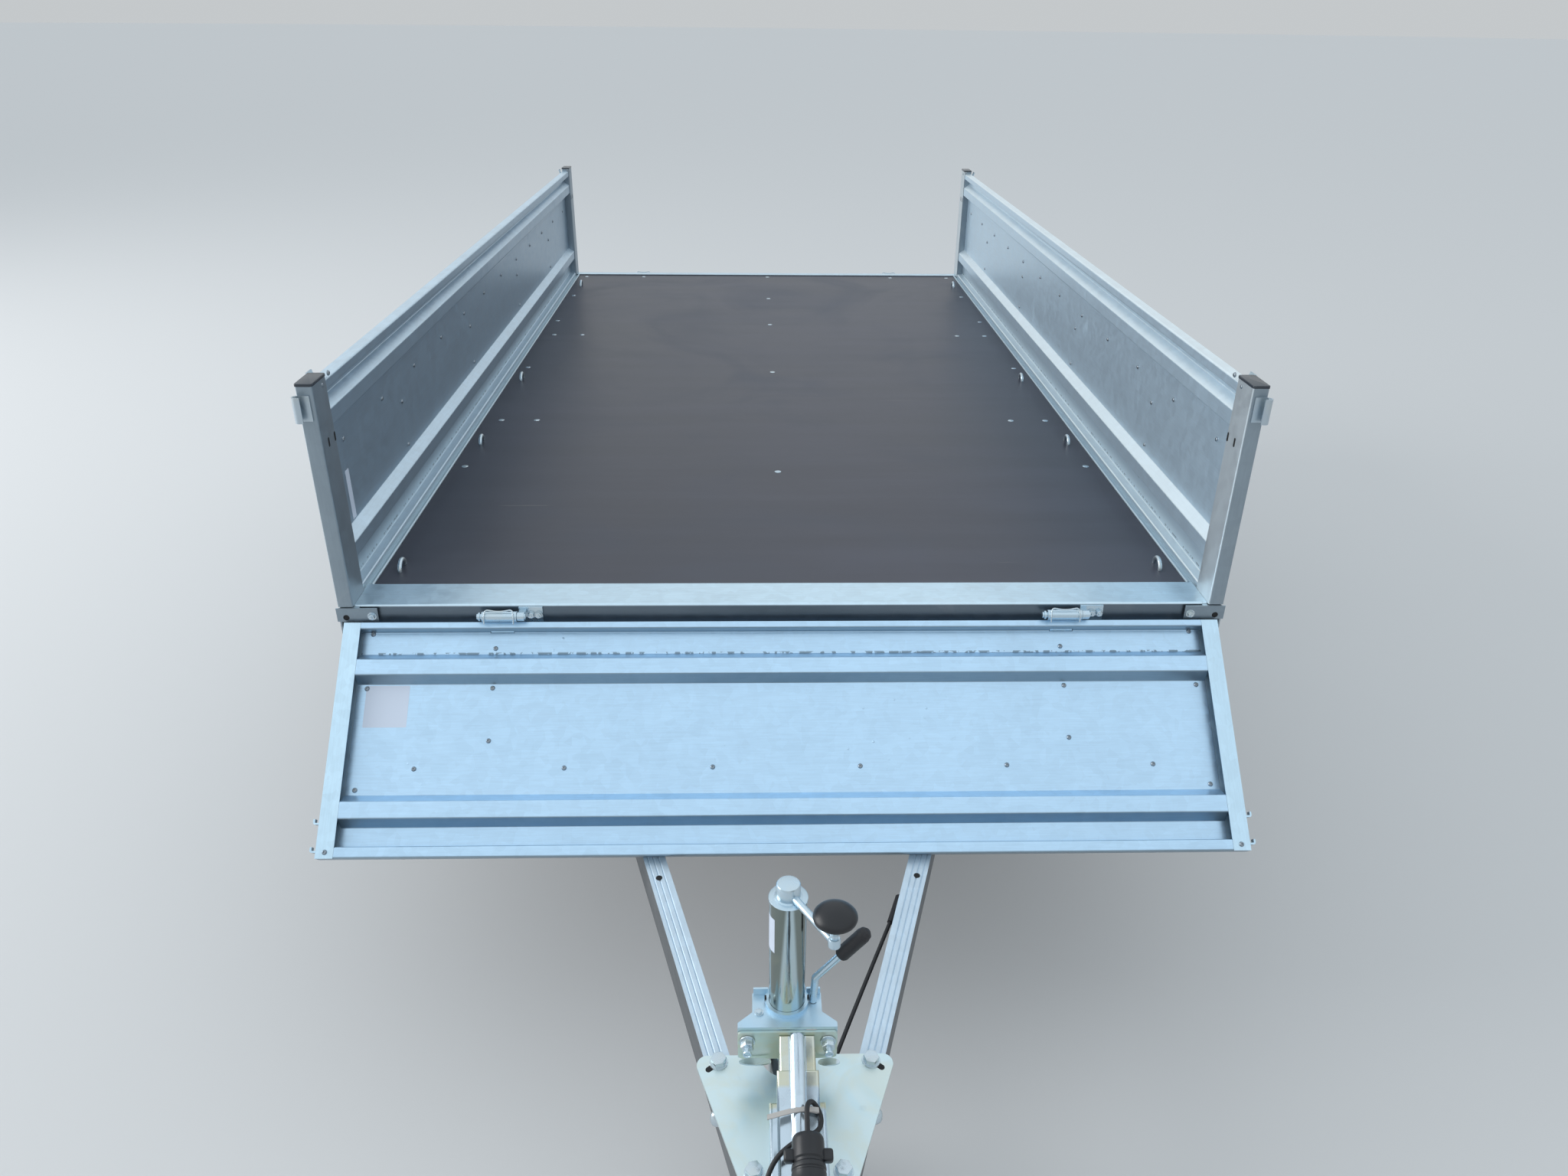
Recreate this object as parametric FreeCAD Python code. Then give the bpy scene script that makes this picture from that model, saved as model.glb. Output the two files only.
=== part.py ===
import FreeCAD, Part
from FreeCAD import Vector, Rotation, Placement
import math
import os

os.makedirs("parts", exist_ok=True)

# Drop-side utility trailer with a plywood floor, in millimetres.
# Model frame: X across, +Y to the rear, +Z up; X = 0 is the middle of the bed, Y = 0 the front face of
# the front corner posts and Z = 0 the foot of the posts. The finished solids are moved at the end so
# that the origin is on the ground below the middle of the trailer.

# Bed
BED_WIDTH = 1550.0
BED_LENGTH = 2817.0
GUARD_BELOW_FLOOR = 91.0
GAP = 0.3

# Corner posts
POST_WIDTH = 27.0
POST_DEPTH = 63.0
POST_BELOW_BOARD = 8.0
POST_WALL = 2.0
CAP_HEIGHT = 5.0
CAP_SKIRT = 12.0

# Floor
DECK_DROP = 2.0
DECK_THICKNESS = 15.0
DECK_EDGE = 37.0

# Pressed boards, measured from the hinged or lower edge
BOARD_HEIGHT = 400.0
BOARD_DEPTH = 20.0
BOARD_SHEET = 1.5
BOARD_BEND = 2.0
LOWER_STRIP = 12.0
TOP_STRIP = 19.0
RIB_TOP = 27.0
RIB_FLANK = 13.0
RIB_FROM_EDGE = 53.0
RIB_FROM_TOP = 104.0
SIDE_BOARD_DROP = 6.0
SIDE_BOARD_INSET = 2.5
END_FRAME_WIDTH = 29.0
BOARD_END_INSET = 10.0
BOARD_WIDTH = BED_WIDTH - 2 * BOARD_END_INSET

# Front board hinge line and opening
FRONT_AXIS_OUT = 11.8
FRONT_AXIS_DOWN = 13.5
FRONT_AXIS_FACE = 11.2
FRONT_AXIS_EDGE = 6.4
FRONT_OPENING = 133.2

# Tail board hinge line: far enough out for the board to hang straight down
TAIL_AXIS_OUT = 31.0
TAIL_AXIS_DOWN = 19.0
TAIL_AXIS_FACE = -10.0
TAIL_AXIS_EDGE = 12.0
TAIL_OPENING = 180.0

# Hinges
HINGE_CENTRES = [-495.0, 490.0]
BARREL_LENGTH = 60.0
BARREL_RADIUS = 9.0
PIN_RADIUS = 5.0
PIN_RUNNING = 0.3
EAR_LENGTH = 12.0
EAR_RADIUS = 7.8
LEAF_WIDTH = 41.0
LEAF_THICKNESS = 4.0
STRAP_THICKNESS = 3.0
STRAP_REACH = 230.0
STRAP_ELBOW = 14.0
STRAP_WIDTH = 40.0

# Sills
SILL_SHEET = 2.5
SILL_BEND = 2.0
SILL_SET_BACK = 5.5
FRONT_SILL_WIDTH = 80.0
REAR_SILL_WIDTH = 40.0
FRONT_SILL_DROP = 60.0
REAR_SILL_DROP = 45.0

# Side rails and the frame below
RAIL_HEIGHT = 80.0
RAIL_SHEET = 2.5
RAIL_FOOT = 25.0
RIDGE_HEIGHT = 8.0
CROSS_HEIGHT = 40.0
CROSS_FLANGE = 30.0
CROSS_SHEET = 2.5
CROSS_FROM_FRONT = [110.0, 680.0, 1480.0]
CROSS_FROM_REAR = [782.0, 407.0, 77.0]
BEAM_HEIGHT = 140.0
BEAM_FLANGE = 45.0
BEAM_SHEET = 3.0
BEAM_FROM_WHEEL = 108.0
BEAM_START = 92.0
BEAM_END_GAP = 66.0

# Drawbar legs
LEG_WIDTH = 35.0
LEG_HEIGHT = 80.0
LEG_WALL = 2.5
LEG_GROOVE = 1.5
LEG_GROOVE_WIDTH = 3.0
LEG_BOLT_Y = -660.0
LEG_BOLT_X = 104.0
LEG_PAST_BEAM = 6.66
LEG_SLOPE = 6.0
LEG_FRONT_Y = -900.0
LEG_REAR_Y = 770.0

# Drawbar plate
PLATE_THICKNESS = 5.0
PLATE_REAR_HALF = 140.0
PLATE_REAR_Y = -652.0
PLATE_FRONT_Y = -880.0
PLATE_CORNER = 14.0
PLATE_NOTCH_RADIUS = 36.0

# Coupling
BRACKET_REACH = 43.0
YOKE_THICKNESS = 4.0
BALL_Y = -1085.0
BALL_RADIUS = 25.0
HEAD_RADIUS = 36.0
COUPLING_FRONT = BALL_Y + 75.0
# rows: start of the section in Y, half width, height
COUPLING_STEPS = [(-757.0, 27.0, 52.0), (-795.0, 36.0, 30.0)]
RIDGE_RADIUS = 11.0
RIDGE_AXIS = 46.0
HOOD_HEIGHT = 76.0
HOOD_HALF = 25.0
HOOD_CREST = 9.0

# Jockey stand
JOCKEY_X = -12.0
JOCKEY_Y = -650.0
JOCKEY_OUTER_RADIUS = 24.0
JOCKEY_OUTER_WALL = 2.5
JOCKEY_INNER_RADIUS = 20.9
JOCKEY_INNER_WALL = 2.5
JOCKEY_TOP_RISE = 178.0
JOCKEY_OUTER_LENGTH = 360.0
BRACKET_ABOVE_PLATE = 99.18
JOCKEY_BRACKET_THICKNESS = 4.0
JOCKEY_WHEEL_RADIUS = 100.0
JOCKEY_WHEEL_WIDTH = 50.0
JOCKEY_TRAIL = 35.0
JOCKEY_UP = 60.0
JOCKEY_DOWN = 90.0

# Running gear
AXLE_Y = 1428.0
WHEEL_INSET = 127.0
TYRE_RADIUS = 297.0
GUARD_CLEARANCE = 48.0
TYRE_WIDTH = 165.0
RIM_SEAT_RADIUS = 165.0
ARM_LENGTH = 160.0
ARM_ANGLE = 18.0
AXLE_BEAM_SIZE = 70.0
FLANGE_OUT = 28.0

# Wiring cable: rows of X, Y and height above the plane of the legs' tops
CABLE_DIAMETER = 6.3
CABLE_EXIT_INSET = 26.1
CABLE_ROUTE = [(159.0, -398.0, -28.5), (30.0, -692.0, -29.0), (12.0, -768.0, -25.0), (1.0, -838.0, -25.0),
               (1.0, -890.0, -24.0), (-3.0, -936.0, -24.0), (-14.0, -972.0, -24.0), (-44.0, -983.0, -14.0),
               (-62.0, -955.0, 3.0), (-57.0, -918.0, 22.0), (-48.0, -880.0, 42.0), (-36.0, -842.0, 64.0),
               (-6.0, -820.0, 74.0), (22.0, -806.0, 70.0), (28.0, -778.0, 67.0), (18.3, -766.0, 85.6),
               (9.0, -778.0, 103.8), (8.4, -806.0, 101.9), (8.5, -832.0, 98.2)]

guard_radius = TYRE_RADIUS + GUARD_CLEARANCE
bed_height = DECK_DROP + DECK_THICKNESS + GUARD_BELOW_FLOOR + guard_radius + TYRE_RADIUS
ground = -bed_height
post_height = BOARD_HEIGHT - POST_BELOW_BOARD
rib_starts = [RIB_FROM_EDGE, BOARD_HEIGHT - RIB_FROM_TOP]
coupling_rear_y = JOCKEY_Y - BRACKET_REACH - YOKE_THICKNESS - 2 * GAP
half = BED_WIDTH / 2
wheel_x = half - WHEEL_INSET
flange_x = wheel_x + FLANGE_OUT
beam_outer = wheel_x - BEAM_FROM_WHEEL
cross_places = CROSS_FROM_FRONT + [BED_LENGTH - d for d in CROSS_FROM_REAR]
deck_top = -DECK_DROP
deck_bottom = deck_top - DECK_THICKNESS
post_inner = half - POST_WIDTH
wheel_z = ground + TYRE_RADIUS

nodes = {}


def xz(a, b, y=0.0):
    return Vector(a, y, b)


def yz(a, b, x=0.0):
    return Vector(x, a, b)


def xy(a, b, z=0.0):
    return Vector(a, b, z)


def box(x0, x1, y0, y1, z0, z1):
    return Part.makeBox(x1 - x0, y1 - y0, z1 - z0, Vector(x0, y0, z0))


def rod(start, axis, radius, length):
    return Part.makeCylinder(radius, length, start, axis)


def pipe(start, axis, outer, inner, length):
    return rod(start, axis, outer, length).cut(rod(start, axis, inner, length))


def rounded_wire(corners, radii):
    """Closed wire through the corners, each rounded by an arc of its own radius."""
    count = len(corners)
    starts, ends, middles = [], [], []
    for i, corner in enumerate(corners):
        before = (corner - corners[i - 1]).normalize()
        after = (corners[(i + 1) % count] - corner).normalize()
        turn = before.getAngle(after)
        if radii[i] < 1e-6 or turn < 1e-4:
            starts.append(corner)
            ends.append(corner)
            middles.append(None)
            continue
        reach = radii[i] * math.tan(turn / 2)
        inward = (after - before).normalize()
        starts.append(corner - before * reach)
        ends.append(corner + after * reach)
        middles.append(corner + inward * (radii[i] / math.cos(turn / 2) - radii[i]))
    edges = []
    for i in range(count):
        if middles[i] is not None:
            edges.append(Part.Arc(starts[i], middles[i], ends[i]).toShape())
        following = starts[(i + 1) % count]
        if (following - ends[i]).Length > 1e-6:
            edges.append(Part.LineSegment(ends[i], following).toShape())
    return Part.Wire(edges)


def prism(points, plane, at, depth_vector, radius=0.0):
    """Solid from a closed outline of (a, b) pairs laid in a plane and pushed along a vector."""
    corners = [plane(a, b, at) for a, b in points]
    radii = radius if isinstance(radius, list) else [radius] * len(corners)
    return Part.Face(rounded_wire(corners, radii)).extrude(depth_vector)


def folded(path, thickness, bend, plane, at, depth_vector):
    """Bent sheet: one face follows the path, the thickness lies to the right of its direction."""
    normals = []
    for (a0, b0), (a1, b1) in zip(path, path[1:]):
        run = math.hypot(a1 - a0, b1 - b0)
        normals.append(((b1 - b0) / run, -(a1 - a0) / run))
    other = []
    radii = []
    for i, (a, b) in enumerate(path):
        n0 = normals[max(i - 1, 0)]
        n1 = normals[min(i, len(normals) - 1)]
        share = thickness / (1 + n0[0] * n1[0] + n0[1] * n1[1])
        other.append((a + share * (n0[0] + n1[0]), b + share * (n0[1] + n1[1])))
        turn = n0[0] * n1[1] - n0[1] * n1[0]
        radii.append(0.0 if abs(turn) < 1e-9 else (bend if turn > 0 else bend + thickness))
    other_radii = [0.0 if r == 0 else (bend + thickness if r == bend else bend) for r in radii]
    return prism(path + other[::-1], plane, at, depth_vector, radii + other_radii[::-1])


def mirrored(shape):
    return shape.mirror(Vector(0, 0, 0), Vector(1, 0, 0))


def both(shape):
    return Part.makeCompound([shape, mirrored(shape)])


def turned(shape, centre, axis, degrees):
    copy = shape.copy()
    copy.rotate(centre, axis, degrees)
    return copy


def moved(shape, x, y, z):
    copy = shape.copy()
    copy.translate(Vector(x, y, z))
    return copy


def revolve(points, radius, centre, axis_dir, plane):
    """Full turn of a closed outline round an axis through the centre."""
    corners = [plane(a, b) for a, b in points]
    radii = radius if isinstance(radius, list) else [radius] * len(corners)
    face = Part.Face(rounded_wire(corners, radii))
    return face.revolve(centre, axis_dir, 360)


def pack_together(shapes):
    return Part.makeCompound(shapes)


# Floor and corner posts

deck_half = half - DECK_EDGE - GAP
deck_front = SILL_SET_BACK + SILL_SHEET + SILL_BEND + GAP
deck_rear = BED_LENGTH - deck_front


def make_deck():
    return box(-deck_half, deck_half, deck_front, deck_rear, deck_bottom, deck_top)


def make_post(front):
    """Box post with two locking slots in its inner face."""
    y0 = 0.0 if front else BED_LENGTH - POST_DEPTH
    post = box(post_inner, half, y0, y0 + POST_DEPTH, deck_top + GAP, post_height)
    post = post.cut(box(post_inner + POST_WALL, half - POST_WALL, y0 + POST_WALL,
                        y0 + POST_DEPTH - POST_WALL, deck_top, post_height + 1))
    slot_y = y0 + POST_DEPTH / 2
    for z in (post_height - 96, post_height - 70):
        slot = box(post_inner - 1, post_inner + POST_WALL + 1, slot_y - 3, slot_y + 3, z, z + 16)
        post = post.cut(slot)
    return both(post)


def make_caps():
    """Plastic plugs in the tops of the posts."""
    caps = []
    for y0 in (0.0, BED_LENGTH - POST_DEPTH):
        top = box(post_inner, half, y0, y0 + POST_DEPTH, post_height + GAP, post_height + GAP + CAP_HEIGHT)
        top = top.makeFillet(2.0, [e for e in top.Edges if e.CenterOfMass.z > post_height + CAP_HEIGHT])
        inset = POST_WALL + GAP
        skirt = box(post_inner + inset, half - inset, y0 + inset, y0 + POST_DEPTH - inset,
                    post_height - CAP_SKIRT, post_height + GAP + 1)
        caps.append(both(top.fuse(skirt)))
    return pack_together(caps)


nodes["deck"] = make_deck()
nodes["corner_posts"] = pack_together([make_post(True), make_post(False)])
nodes["post_caps"] = make_caps()


# Boards

def board_path(height):
    """Inner face of a pressed board as (distance from lower edge, distance from inner plane)."""
    path = [(0, 0), (LOWER_STRIP, 0), (LOWER_STRIP, -BOARD_DEPTH)]
    for start in rib_starts:
        path.append((start, -BOARD_DEPTH))
        path.append((start + RIB_FLANK, 0))
        path.append((start + RIB_FLANK + RIB_TOP, 0))
        path.append((start + 2 * RIB_FLANK + RIB_TOP, -BOARD_DEPTH))
    path.append((height - TOP_STRIP, -BOARD_DEPTH))
    path.append((height - TOP_STRIP, 0))
    path.append((height, 0))
    path.append((height, -BOARD_DEPTH - BOARD_SHEET))
    return path


side_board_height = post_height - SIDE_BOARD_DROP
side_board_outer = half - SIDE_BOARD_INSET
side_board_inner = side_board_outer - BOARD_DEPTH - BOARD_SHEET


def make_side_board():
    """Fixed side board between the posts, ribs to the load space."""
    base = deck_top + GAP
    path = [(side_board_inner - n, base + s) for s, n in board_path(side_board_height)]
    start = POST_DEPTH + GAP
    run = Vector(0, BED_LENGTH - 2 * start, 0)
    return folded(path, BOARD_SHEET, BOARD_BEND, xz, start, run)


def place_front(s, n):
    """Closed front board: board coordinates to (y, z)."""
    return (-FRONT_AXIS_OUT - FRONT_AXIS_FACE + n, -FRONT_AXIS_DOWN + FRONT_AXIS_EDGE + s)


def place_tail(s, n):
    """Closed tail board: board coordinates to (y, z)."""
    return (BED_LENGTH + TAIL_AXIS_OUT + TAIL_AXIS_FACE - n, -TAIL_AXIS_DOWN + TAIL_AXIS_EDGE + s)


front_axis = Vector(0, -FRONT_AXIS_OUT, -FRONT_AXIS_DOWN)
tail_axis = Vector(0, BED_LENGTH + TAIL_AXIS_OUT, -TAIL_AXIS_DOWN)
across = Vector(1, 0, 0)


def open_front(shape):
    return turned(shape, front_axis, across, FRONT_OPENING)


def open_tail(shape):
    return turned(shape, tail_axis, across, -TAIL_OPENING)


def make_end_panel(place, flip):
    """Pressed sheet of a hinged board, closed position."""
    panel_half = BOARD_WIDTH / 2 - END_FRAME_WIDTH - GAP
    path = [place(s, n) for s, n in board_path(BOARD_HEIGHT)]
    if flip:
        path = path[::-1]
    panel = folded(path, BOARD_SHEET, BOARD_BEND, yz, -panel_half, Vector(2 * panel_half, 0, 0))
    corner = [place(LOWER_STRIP - 5, 2 - BOARD_DEPTH * 0.8), place(STRAP_ELBOW, 2 - BOARD_DEPTH * 0.8),
              place(STRAP_ELBOW, -BOARD_DEPTH - 5), place(LOWER_STRIP - 5, -BOARD_DEPTH - 5)]
    for centre in HINGE_CENTRES:
        notch = prism(corner, yz, centre - STRAP_WIDTH / 2 - 1, Vector(STRAP_WIDTH + 2, 0, 0))
        panel = panel.cut(notch)
    return panel


def make_end_frames(place):
    """Channel sections that close the ends of a hinged board."""
    edge = BOARD_WIDTH / 2
    outer = BOARD_DEPTH + BOARD_SHEET
    solid = [place(0, 0), place(BOARD_HEIGHT, 0), place(BOARD_HEIGHT, -outer), place(LOWER_STRIP, -outer),
             place(0, -BOARD_SHEET)]
    bar = prism(solid, yz, edge - END_FRAME_WIDTH, Vector(END_FRAME_WIDTH, 0, 0))
    hollow = [place(2 * BOARD_SHEET, -BOARD_SHEET), place(BOARD_HEIGHT - BOARD_SHEET, -BOARD_SHEET),
              place(BOARD_HEIGHT - BOARD_SHEET, BOARD_SHEET - outer),
              place(LOWER_STRIP + BOARD_SHEET, BOARD_SHEET - outer)]
    bar = bar.cut(prism(hollow, yz, edge - END_FRAME_WIDTH - 1, Vector(END_FRAME_WIDTH + 1 - BOARD_SHEET, 0, 0)))
    return both(bar)


nodes["side_boards"] = both(make_side_board())
nodes["front_board"] = open_front(make_end_panel(place_front, True))
nodes["tail_board"] = open_tail(make_end_panel(place_tail, False))


# Hinges of both hinged boards

def make_strap(place, axis_s, axis_n, centre):
    """Hinge strap of a board with its barrel, closed position: tangent to the barrel, then up the face."""
    outer = -BOARD_DEPTH - BOARD_SHEET - GAP
    radius = BARREL_RADIUS - STRAP_THICKNESS
    run_s, run_n = STRAP_ELBOW - axis_s, outer - axis_n
    bearing = math.atan2(run_n, run_s) - math.acos(radius / math.hypot(run_s, run_n))
    touch = (axis_s + radius * math.cos(bearing), axis_n + radius * math.sin(bearing))
    placed = [place(s, n) for s, n in (touch, (STRAP_ELBOW, outer), (STRAP_REACH, outer))]
    if place is place_front:
        placed = placed[::-1]
    strap = folded(placed, STRAP_THICKNESS, 1.0, yz, centre - STRAP_WIDTH / 2, Vector(STRAP_WIDTH, 0, 0))
    y, z = place(axis_s, axis_n)
    x0 = centre - BARREL_LENGTH / 2
    barrel = rod(Vector(x0, y, z), across, BARREL_RADIUS, BARREL_LENGTH)
    bore = rod(Vector(x0 - 1, y, z), across, PIN_RADIUS + PIN_RUNNING, BARREL_LENGTH + 2)
    return barrel.fuse(strap).cut(bore)


def make_fixed_hinge(axis, face_y, outward, centre):
    """Leaf bolted to the sill with the ear that carries the pin, and the pin itself."""
    x0 = centre + BARREL_LENGTH / 2 + 1.0
    ear = rod(Vector(x0, axis.y, axis.z), across, EAR_RADIUS, EAR_LENGTH)
    leaf_out = face_y + outward * LEAF_THICKNESS
    y0, y1 = sorted((face_y + outward * GAP, leaf_out))
    leaf = box(x0, x0 + LEAF_WIDTH, y0, y1, axis.z - 17, axis.z + 11)
    web0, web1 = sorted((face_y + outward * GAP, axis.y))
    web = box(x0, x0 + EAR_LENGTH, web0, web1, axis.z - 4, axis.z + 4)
    pin = rod(Vector(centre - BARREL_LENGTH / 2 - 9, axis.y, axis.z), across, PIN_RADIUS,
              BARREL_LENGTH + 12 + EAR_LENGTH)
    ring = pipe(Vector(centre - BARREL_LENGTH / 2 - 6, axis.y, axis.z), across, 7.5, PIN_RADIUS - 0.1, 3)
    return leaf.fuse([ear, web, pin, ring]).removeSplitter()


front_straps = [make_strap(place_front, -FRONT_AXIS_EDGE, FRONT_AXIS_FACE, c) for c in HINGE_CENTRES]
tail_straps = [make_strap(place_tail, -TAIL_AXIS_EDGE, TAIL_AXIS_FACE, c) for c in HINGE_CENTRES]
nodes["front_board_straps"] = open_front(pack_together(front_straps))
nodes["tail_board_straps"] = open_tail(pack_together(tail_straps))
front_leaves = [make_fixed_hinge(front_axis, SILL_SET_BACK, -1, c) for c in HINGE_CENTRES]
rear_leaves = [make_fixed_hinge(tail_axis, BED_LENGTH - SILL_SET_BACK, 1, c) for c in HINGE_CENTRES]
nodes["fixed_hinges"] = pack_together(front_leaves + rear_leaves)


# Sills, side rails and the frame under the floor

def make_sill(front):
    """Folded sill over the end of the floor and down in front of it."""
    width = FRONT_SILL_WIDTH if front else REAR_SILL_WIDTH
    drop = FRONT_SILL_DROP if front else REAR_SILL_DROP
    top = deck_top + GAP + SILL_SHEET
    path = [(SILL_SET_BACK + width, top), (SILL_SET_BACK, top), (SILL_SET_BACK, top - drop),
            (SILL_SET_BACK + 20, top - drop)]
    sill_half = post_inner - GAP
    if front:
        placed = path[::-1]
    else:
        placed = [(BED_LENGTH - y, z) for y, z in path]
    sill = folded(placed, SILL_SHEET, SILL_BEND, yz, -sill_half, Vector(2 * sill_half, 0, 0))
    for side in (-1, 1):
        x0, x1 = sorted((side * (half - DECK_EDGE - GAP), side * half))
        sill = sill.cut(box(x0, x1, -10, BED_LENGTH + 10, top - drop - 5, deck_top + GAP))
    return sill


def make_side_rail():
    """Outer rail: top flange with a ridge beside the floor, web and foot."""
    path = [(half - DECK_EDGE, deck_top), (half, deck_top), (half, deck_top - RAIL_HEIGHT),
            (half - RAIL_FOOT, deck_top - RAIL_HEIGHT)]
    rail = folded(path, RAIL_SHEET, 2.0, xz, 0.0, Vector(0, BED_LENGTH, 0))
    ridge_start = SILL_SET_BACK + FRONT_SILL_WIDTH + GAP
    ridge_end = BED_LENGTH - SILL_SET_BACK - REAR_SILL_WIDTH - GAP
    ridge = rod(Vector(half - DECK_EDGE + 3.5, ridge_start, deck_top), Vector(0, 1, 0), 3.5,
                ridge_end - ridge_start)
    return rail.fuse(ridge)


nodes["front_sill"] = make_sill(True)
nodes["rear_sill"] = make_sill(False)
nodes["side_rails"] = both(make_side_rail())


def make_cross_members():
    """Channel cross members under the floor."""
    members = []
    end = half - RAIL_SHEET - GAP
    top = deck_bottom - GAP
    for y in cross_places:
        path = [(y + CROSS_FLANGE / 2, top), (y - CROSS_FLANGE / 2, top),
                (y - CROSS_FLANGE / 2, top - CROSS_HEIGHT), (y + CROSS_FLANGE / 2, top - CROSS_HEIGHT)]
        members.append(folded(path[::-1], CROSS_SHEET, 2.0, yz, -end, Vector(2 * end, 0, 0)))
    return pack_together(members)


beam_top = deck_bottom - CROSS_HEIGHT - 2 * GAP
beam_bottom = beam_top - BEAM_HEIGHT


def make_main_beam():
    """Deep channel along the trailer, flanges inward."""
    path = [(beam_outer - BEAM_FLANGE, beam_top), (beam_outer, beam_top), (beam_outer, beam_bottom),
            (beam_outer - BEAM_FLANGE, beam_bottom)]
    length = BED_LENGTH - BEAM_END_GAP - BEAM_START
    return folded(path, BEAM_SHEET, 3.0, xz, BEAM_START, Vector(0, length, 0))


nodes["cross_members"] = make_cross_members()
nodes["main_beams"] = both(make_main_beam())


# Drawbar

leg_tan = (beam_outer + LEG_PAST_BEAM - LEG_BOLT_X) / (LEG_REAR_Y - LEG_BOLT_Y)
slope_tan = math.tan(math.radians(LEG_SLOPE))


def board_corner():
    """Lower corner of the opened front board's far edge."""
    y, z = place_front(BOARD_HEIGHT, -BOARD_DEPTH - BOARD_SHEET)
    point = Vector(0, y, z) - front_axis
    angle = math.radians(FRONT_OPENING)
    return Vector(0, point.y * math.cos(angle) - point.z * math.sin(angle),
                  point.y * math.sin(angle) + point.z * math.cos(angle)) + front_axis


rest_corner = board_corner()


def leg_top(y):
    return rest_corner.z - GAP + (y - rest_corner.y) * slope_tan


def leg_x(y):
    return LEG_BOLT_X + (y - LEG_BOLT_Y) * leg_tan


def leg_section(width, height, grooves):
    """Outline of a leg as (across, height below the top), with shallow grooves along its top."""
    w = width / 2
    points = [(-w, 0)]
    for g in grooves:
        points += [(g - LEG_GROOVE_WIDTH / 2, 0), (g, -LEG_GROOVE), (g + LEG_GROOVE_WIDTH / 2, 0)]
    points += [(w, 0), (w, -height), (-w, -height)]
    return points


leg_heading = Vector(leg_tan, 1, slope_tan).normalize()
leg_square = Vector(0, -slope_tan, 1).normalize()
leg_turn = Rotation(leg_heading.cross(leg_square), leg_heading, leg_square, "ZYX")
leg_place = Placement(Vector(leg_x(LEG_FRONT_Y), LEG_FRONT_Y, leg_top(LEG_FRONT_Y)), leg_turn)


def make_leg():
    """Right-hand leg of the V, with a grooved top."""
    length = (LEG_REAR_Y - LEG_FRONT_Y) / leg_heading.y
    grooves = [-LEG_WIDTH * 0.2, LEG_WIDTH * 0.05, LEG_WIDTH * 0.3]
    leg = prism(leg_section(LEG_WIDTH, LEG_HEIGHT, grooves), xz, 0.0, Vector(0, length, 0))
    inner = prism(leg_section(LEG_WIDTH - 2 * LEG_WALL, LEG_HEIGHT - 2 * LEG_WALL, []), xz, -1.0,
                  Vector(0, length + 2, 0))
    leg = leg.cut(moved(inner, 0, 0, -LEG_WALL - 0.5))
    leg.Placement = leg_place
    inner_side = box(-half, 0.5, LEG_FRONT_Y - LEG_HEIGHT, LEG_BOLT_Y, ground, 0)
    return leg.cut(inner_side)


nodes["drawbar_legs"] = both(make_leg())


def make_front_hangers():
    """Channel plates that carry the legs below the front cross member."""
    y = cross_places[0]
    x = leg_x(y)
    top = deck_bottom - CROSS_HEIGHT - 2 * GAP
    bottom = leg_top(y - 30) + 3.0
    width = 70.0
    back = box(x - width / 2, x + width / 2, y - 30, y - 26, bottom, top)
    head = box(x - width / 2, x + width / 2, y - 30, y + 30, top - 4, top)
    cheek = prism([(y - 30, bottom), (y - 30, top), (y + 30, top), (y + 30, top - 60)], yz, x - width / 2,
                  Vector(4, 0, 0))
    other = moved(cheek, width - 4, 0, 0)
    return back.fuse([head, cheek, other])


nodes["front_hangers"] = both(make_front_hangers())


REAR_HANGER_LENGTH = 80.0
REAR_HANGER_SETBACK = 5.0


def make_rear_hangers():
    """Angle plates that tie the legs' rear ends to the outer faces of the main beams."""
    y0, y1 = LEG_REAR_Y - REAR_HANGER_LENGTH - REAR_HANGER_SETBACK, LEG_REAR_Y - REAR_HANGER_SETBACK
    x0 = beam_outer + GAP
    low0, low1 = leg_top(y0) + 2 * GAP, leg_top(y1) + 2 * GAP
    web = prism([(y0, low0), (y1, low1), (y1, beam_bottom + 90), (y0, beam_bottom + 90)], yz, x0,
                Vector(5, 0, 0), [0, 0, 12, 12])
    foot = prism([(y0, low0), (y1, low1), (y1, low1 + 5), (y0, low0 + 5)], yz, x0, Vector(24, 0, 0))
    return web.fuse(foot)


nodes["rear_hangers"] = both(make_rear_hangers())

plate_z = leg_top(LEG_BOLT_Y) + 6.0
jockey_bracket_z = plate_z + BRACKET_ABOVE_PLATE
jockey_top_z = jockey_bracket_z + JOCKEY_TOP_RISE


def make_drawbar_plate():
    """Rounded triangular plate on the legs, notched for the jockey tube."""
    front_half = leg_x(PLATE_FRONT_Y) + LEG_WIDTH / 2
    points = [(-PLATE_REAR_HALF, PLATE_REAR_Y), (PLATE_REAR_HALF, PLATE_REAR_Y),
              (front_half, PLATE_FRONT_Y), (-front_half, PLATE_FRONT_Y)]
    radii = [PLATE_CORNER, PLATE_CORNER, 8.0, 8.0]
    plate = prism(points, xy, 0.0, Vector(0, 0, PLATE_THICKNESS), radii)
    plate = plate.cut(rod(Vector(JOCKEY_X, JOCKEY_Y, -1), Vector(0, 0, 1), PLATE_NOTCH_RADIUS,
                          PLATE_THICKNESS + 2))
    return plate


def flat_y(y, height):
    """Y in the plate's own flat drawing that lands on the given Y once the plate is tilted."""
    tilt = math.radians(LEG_SLOPE)
    return LEG_BOLT_Y + (y - LEG_BOLT_Y + height * math.sin(tilt)) / math.cos(tilt)


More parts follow.
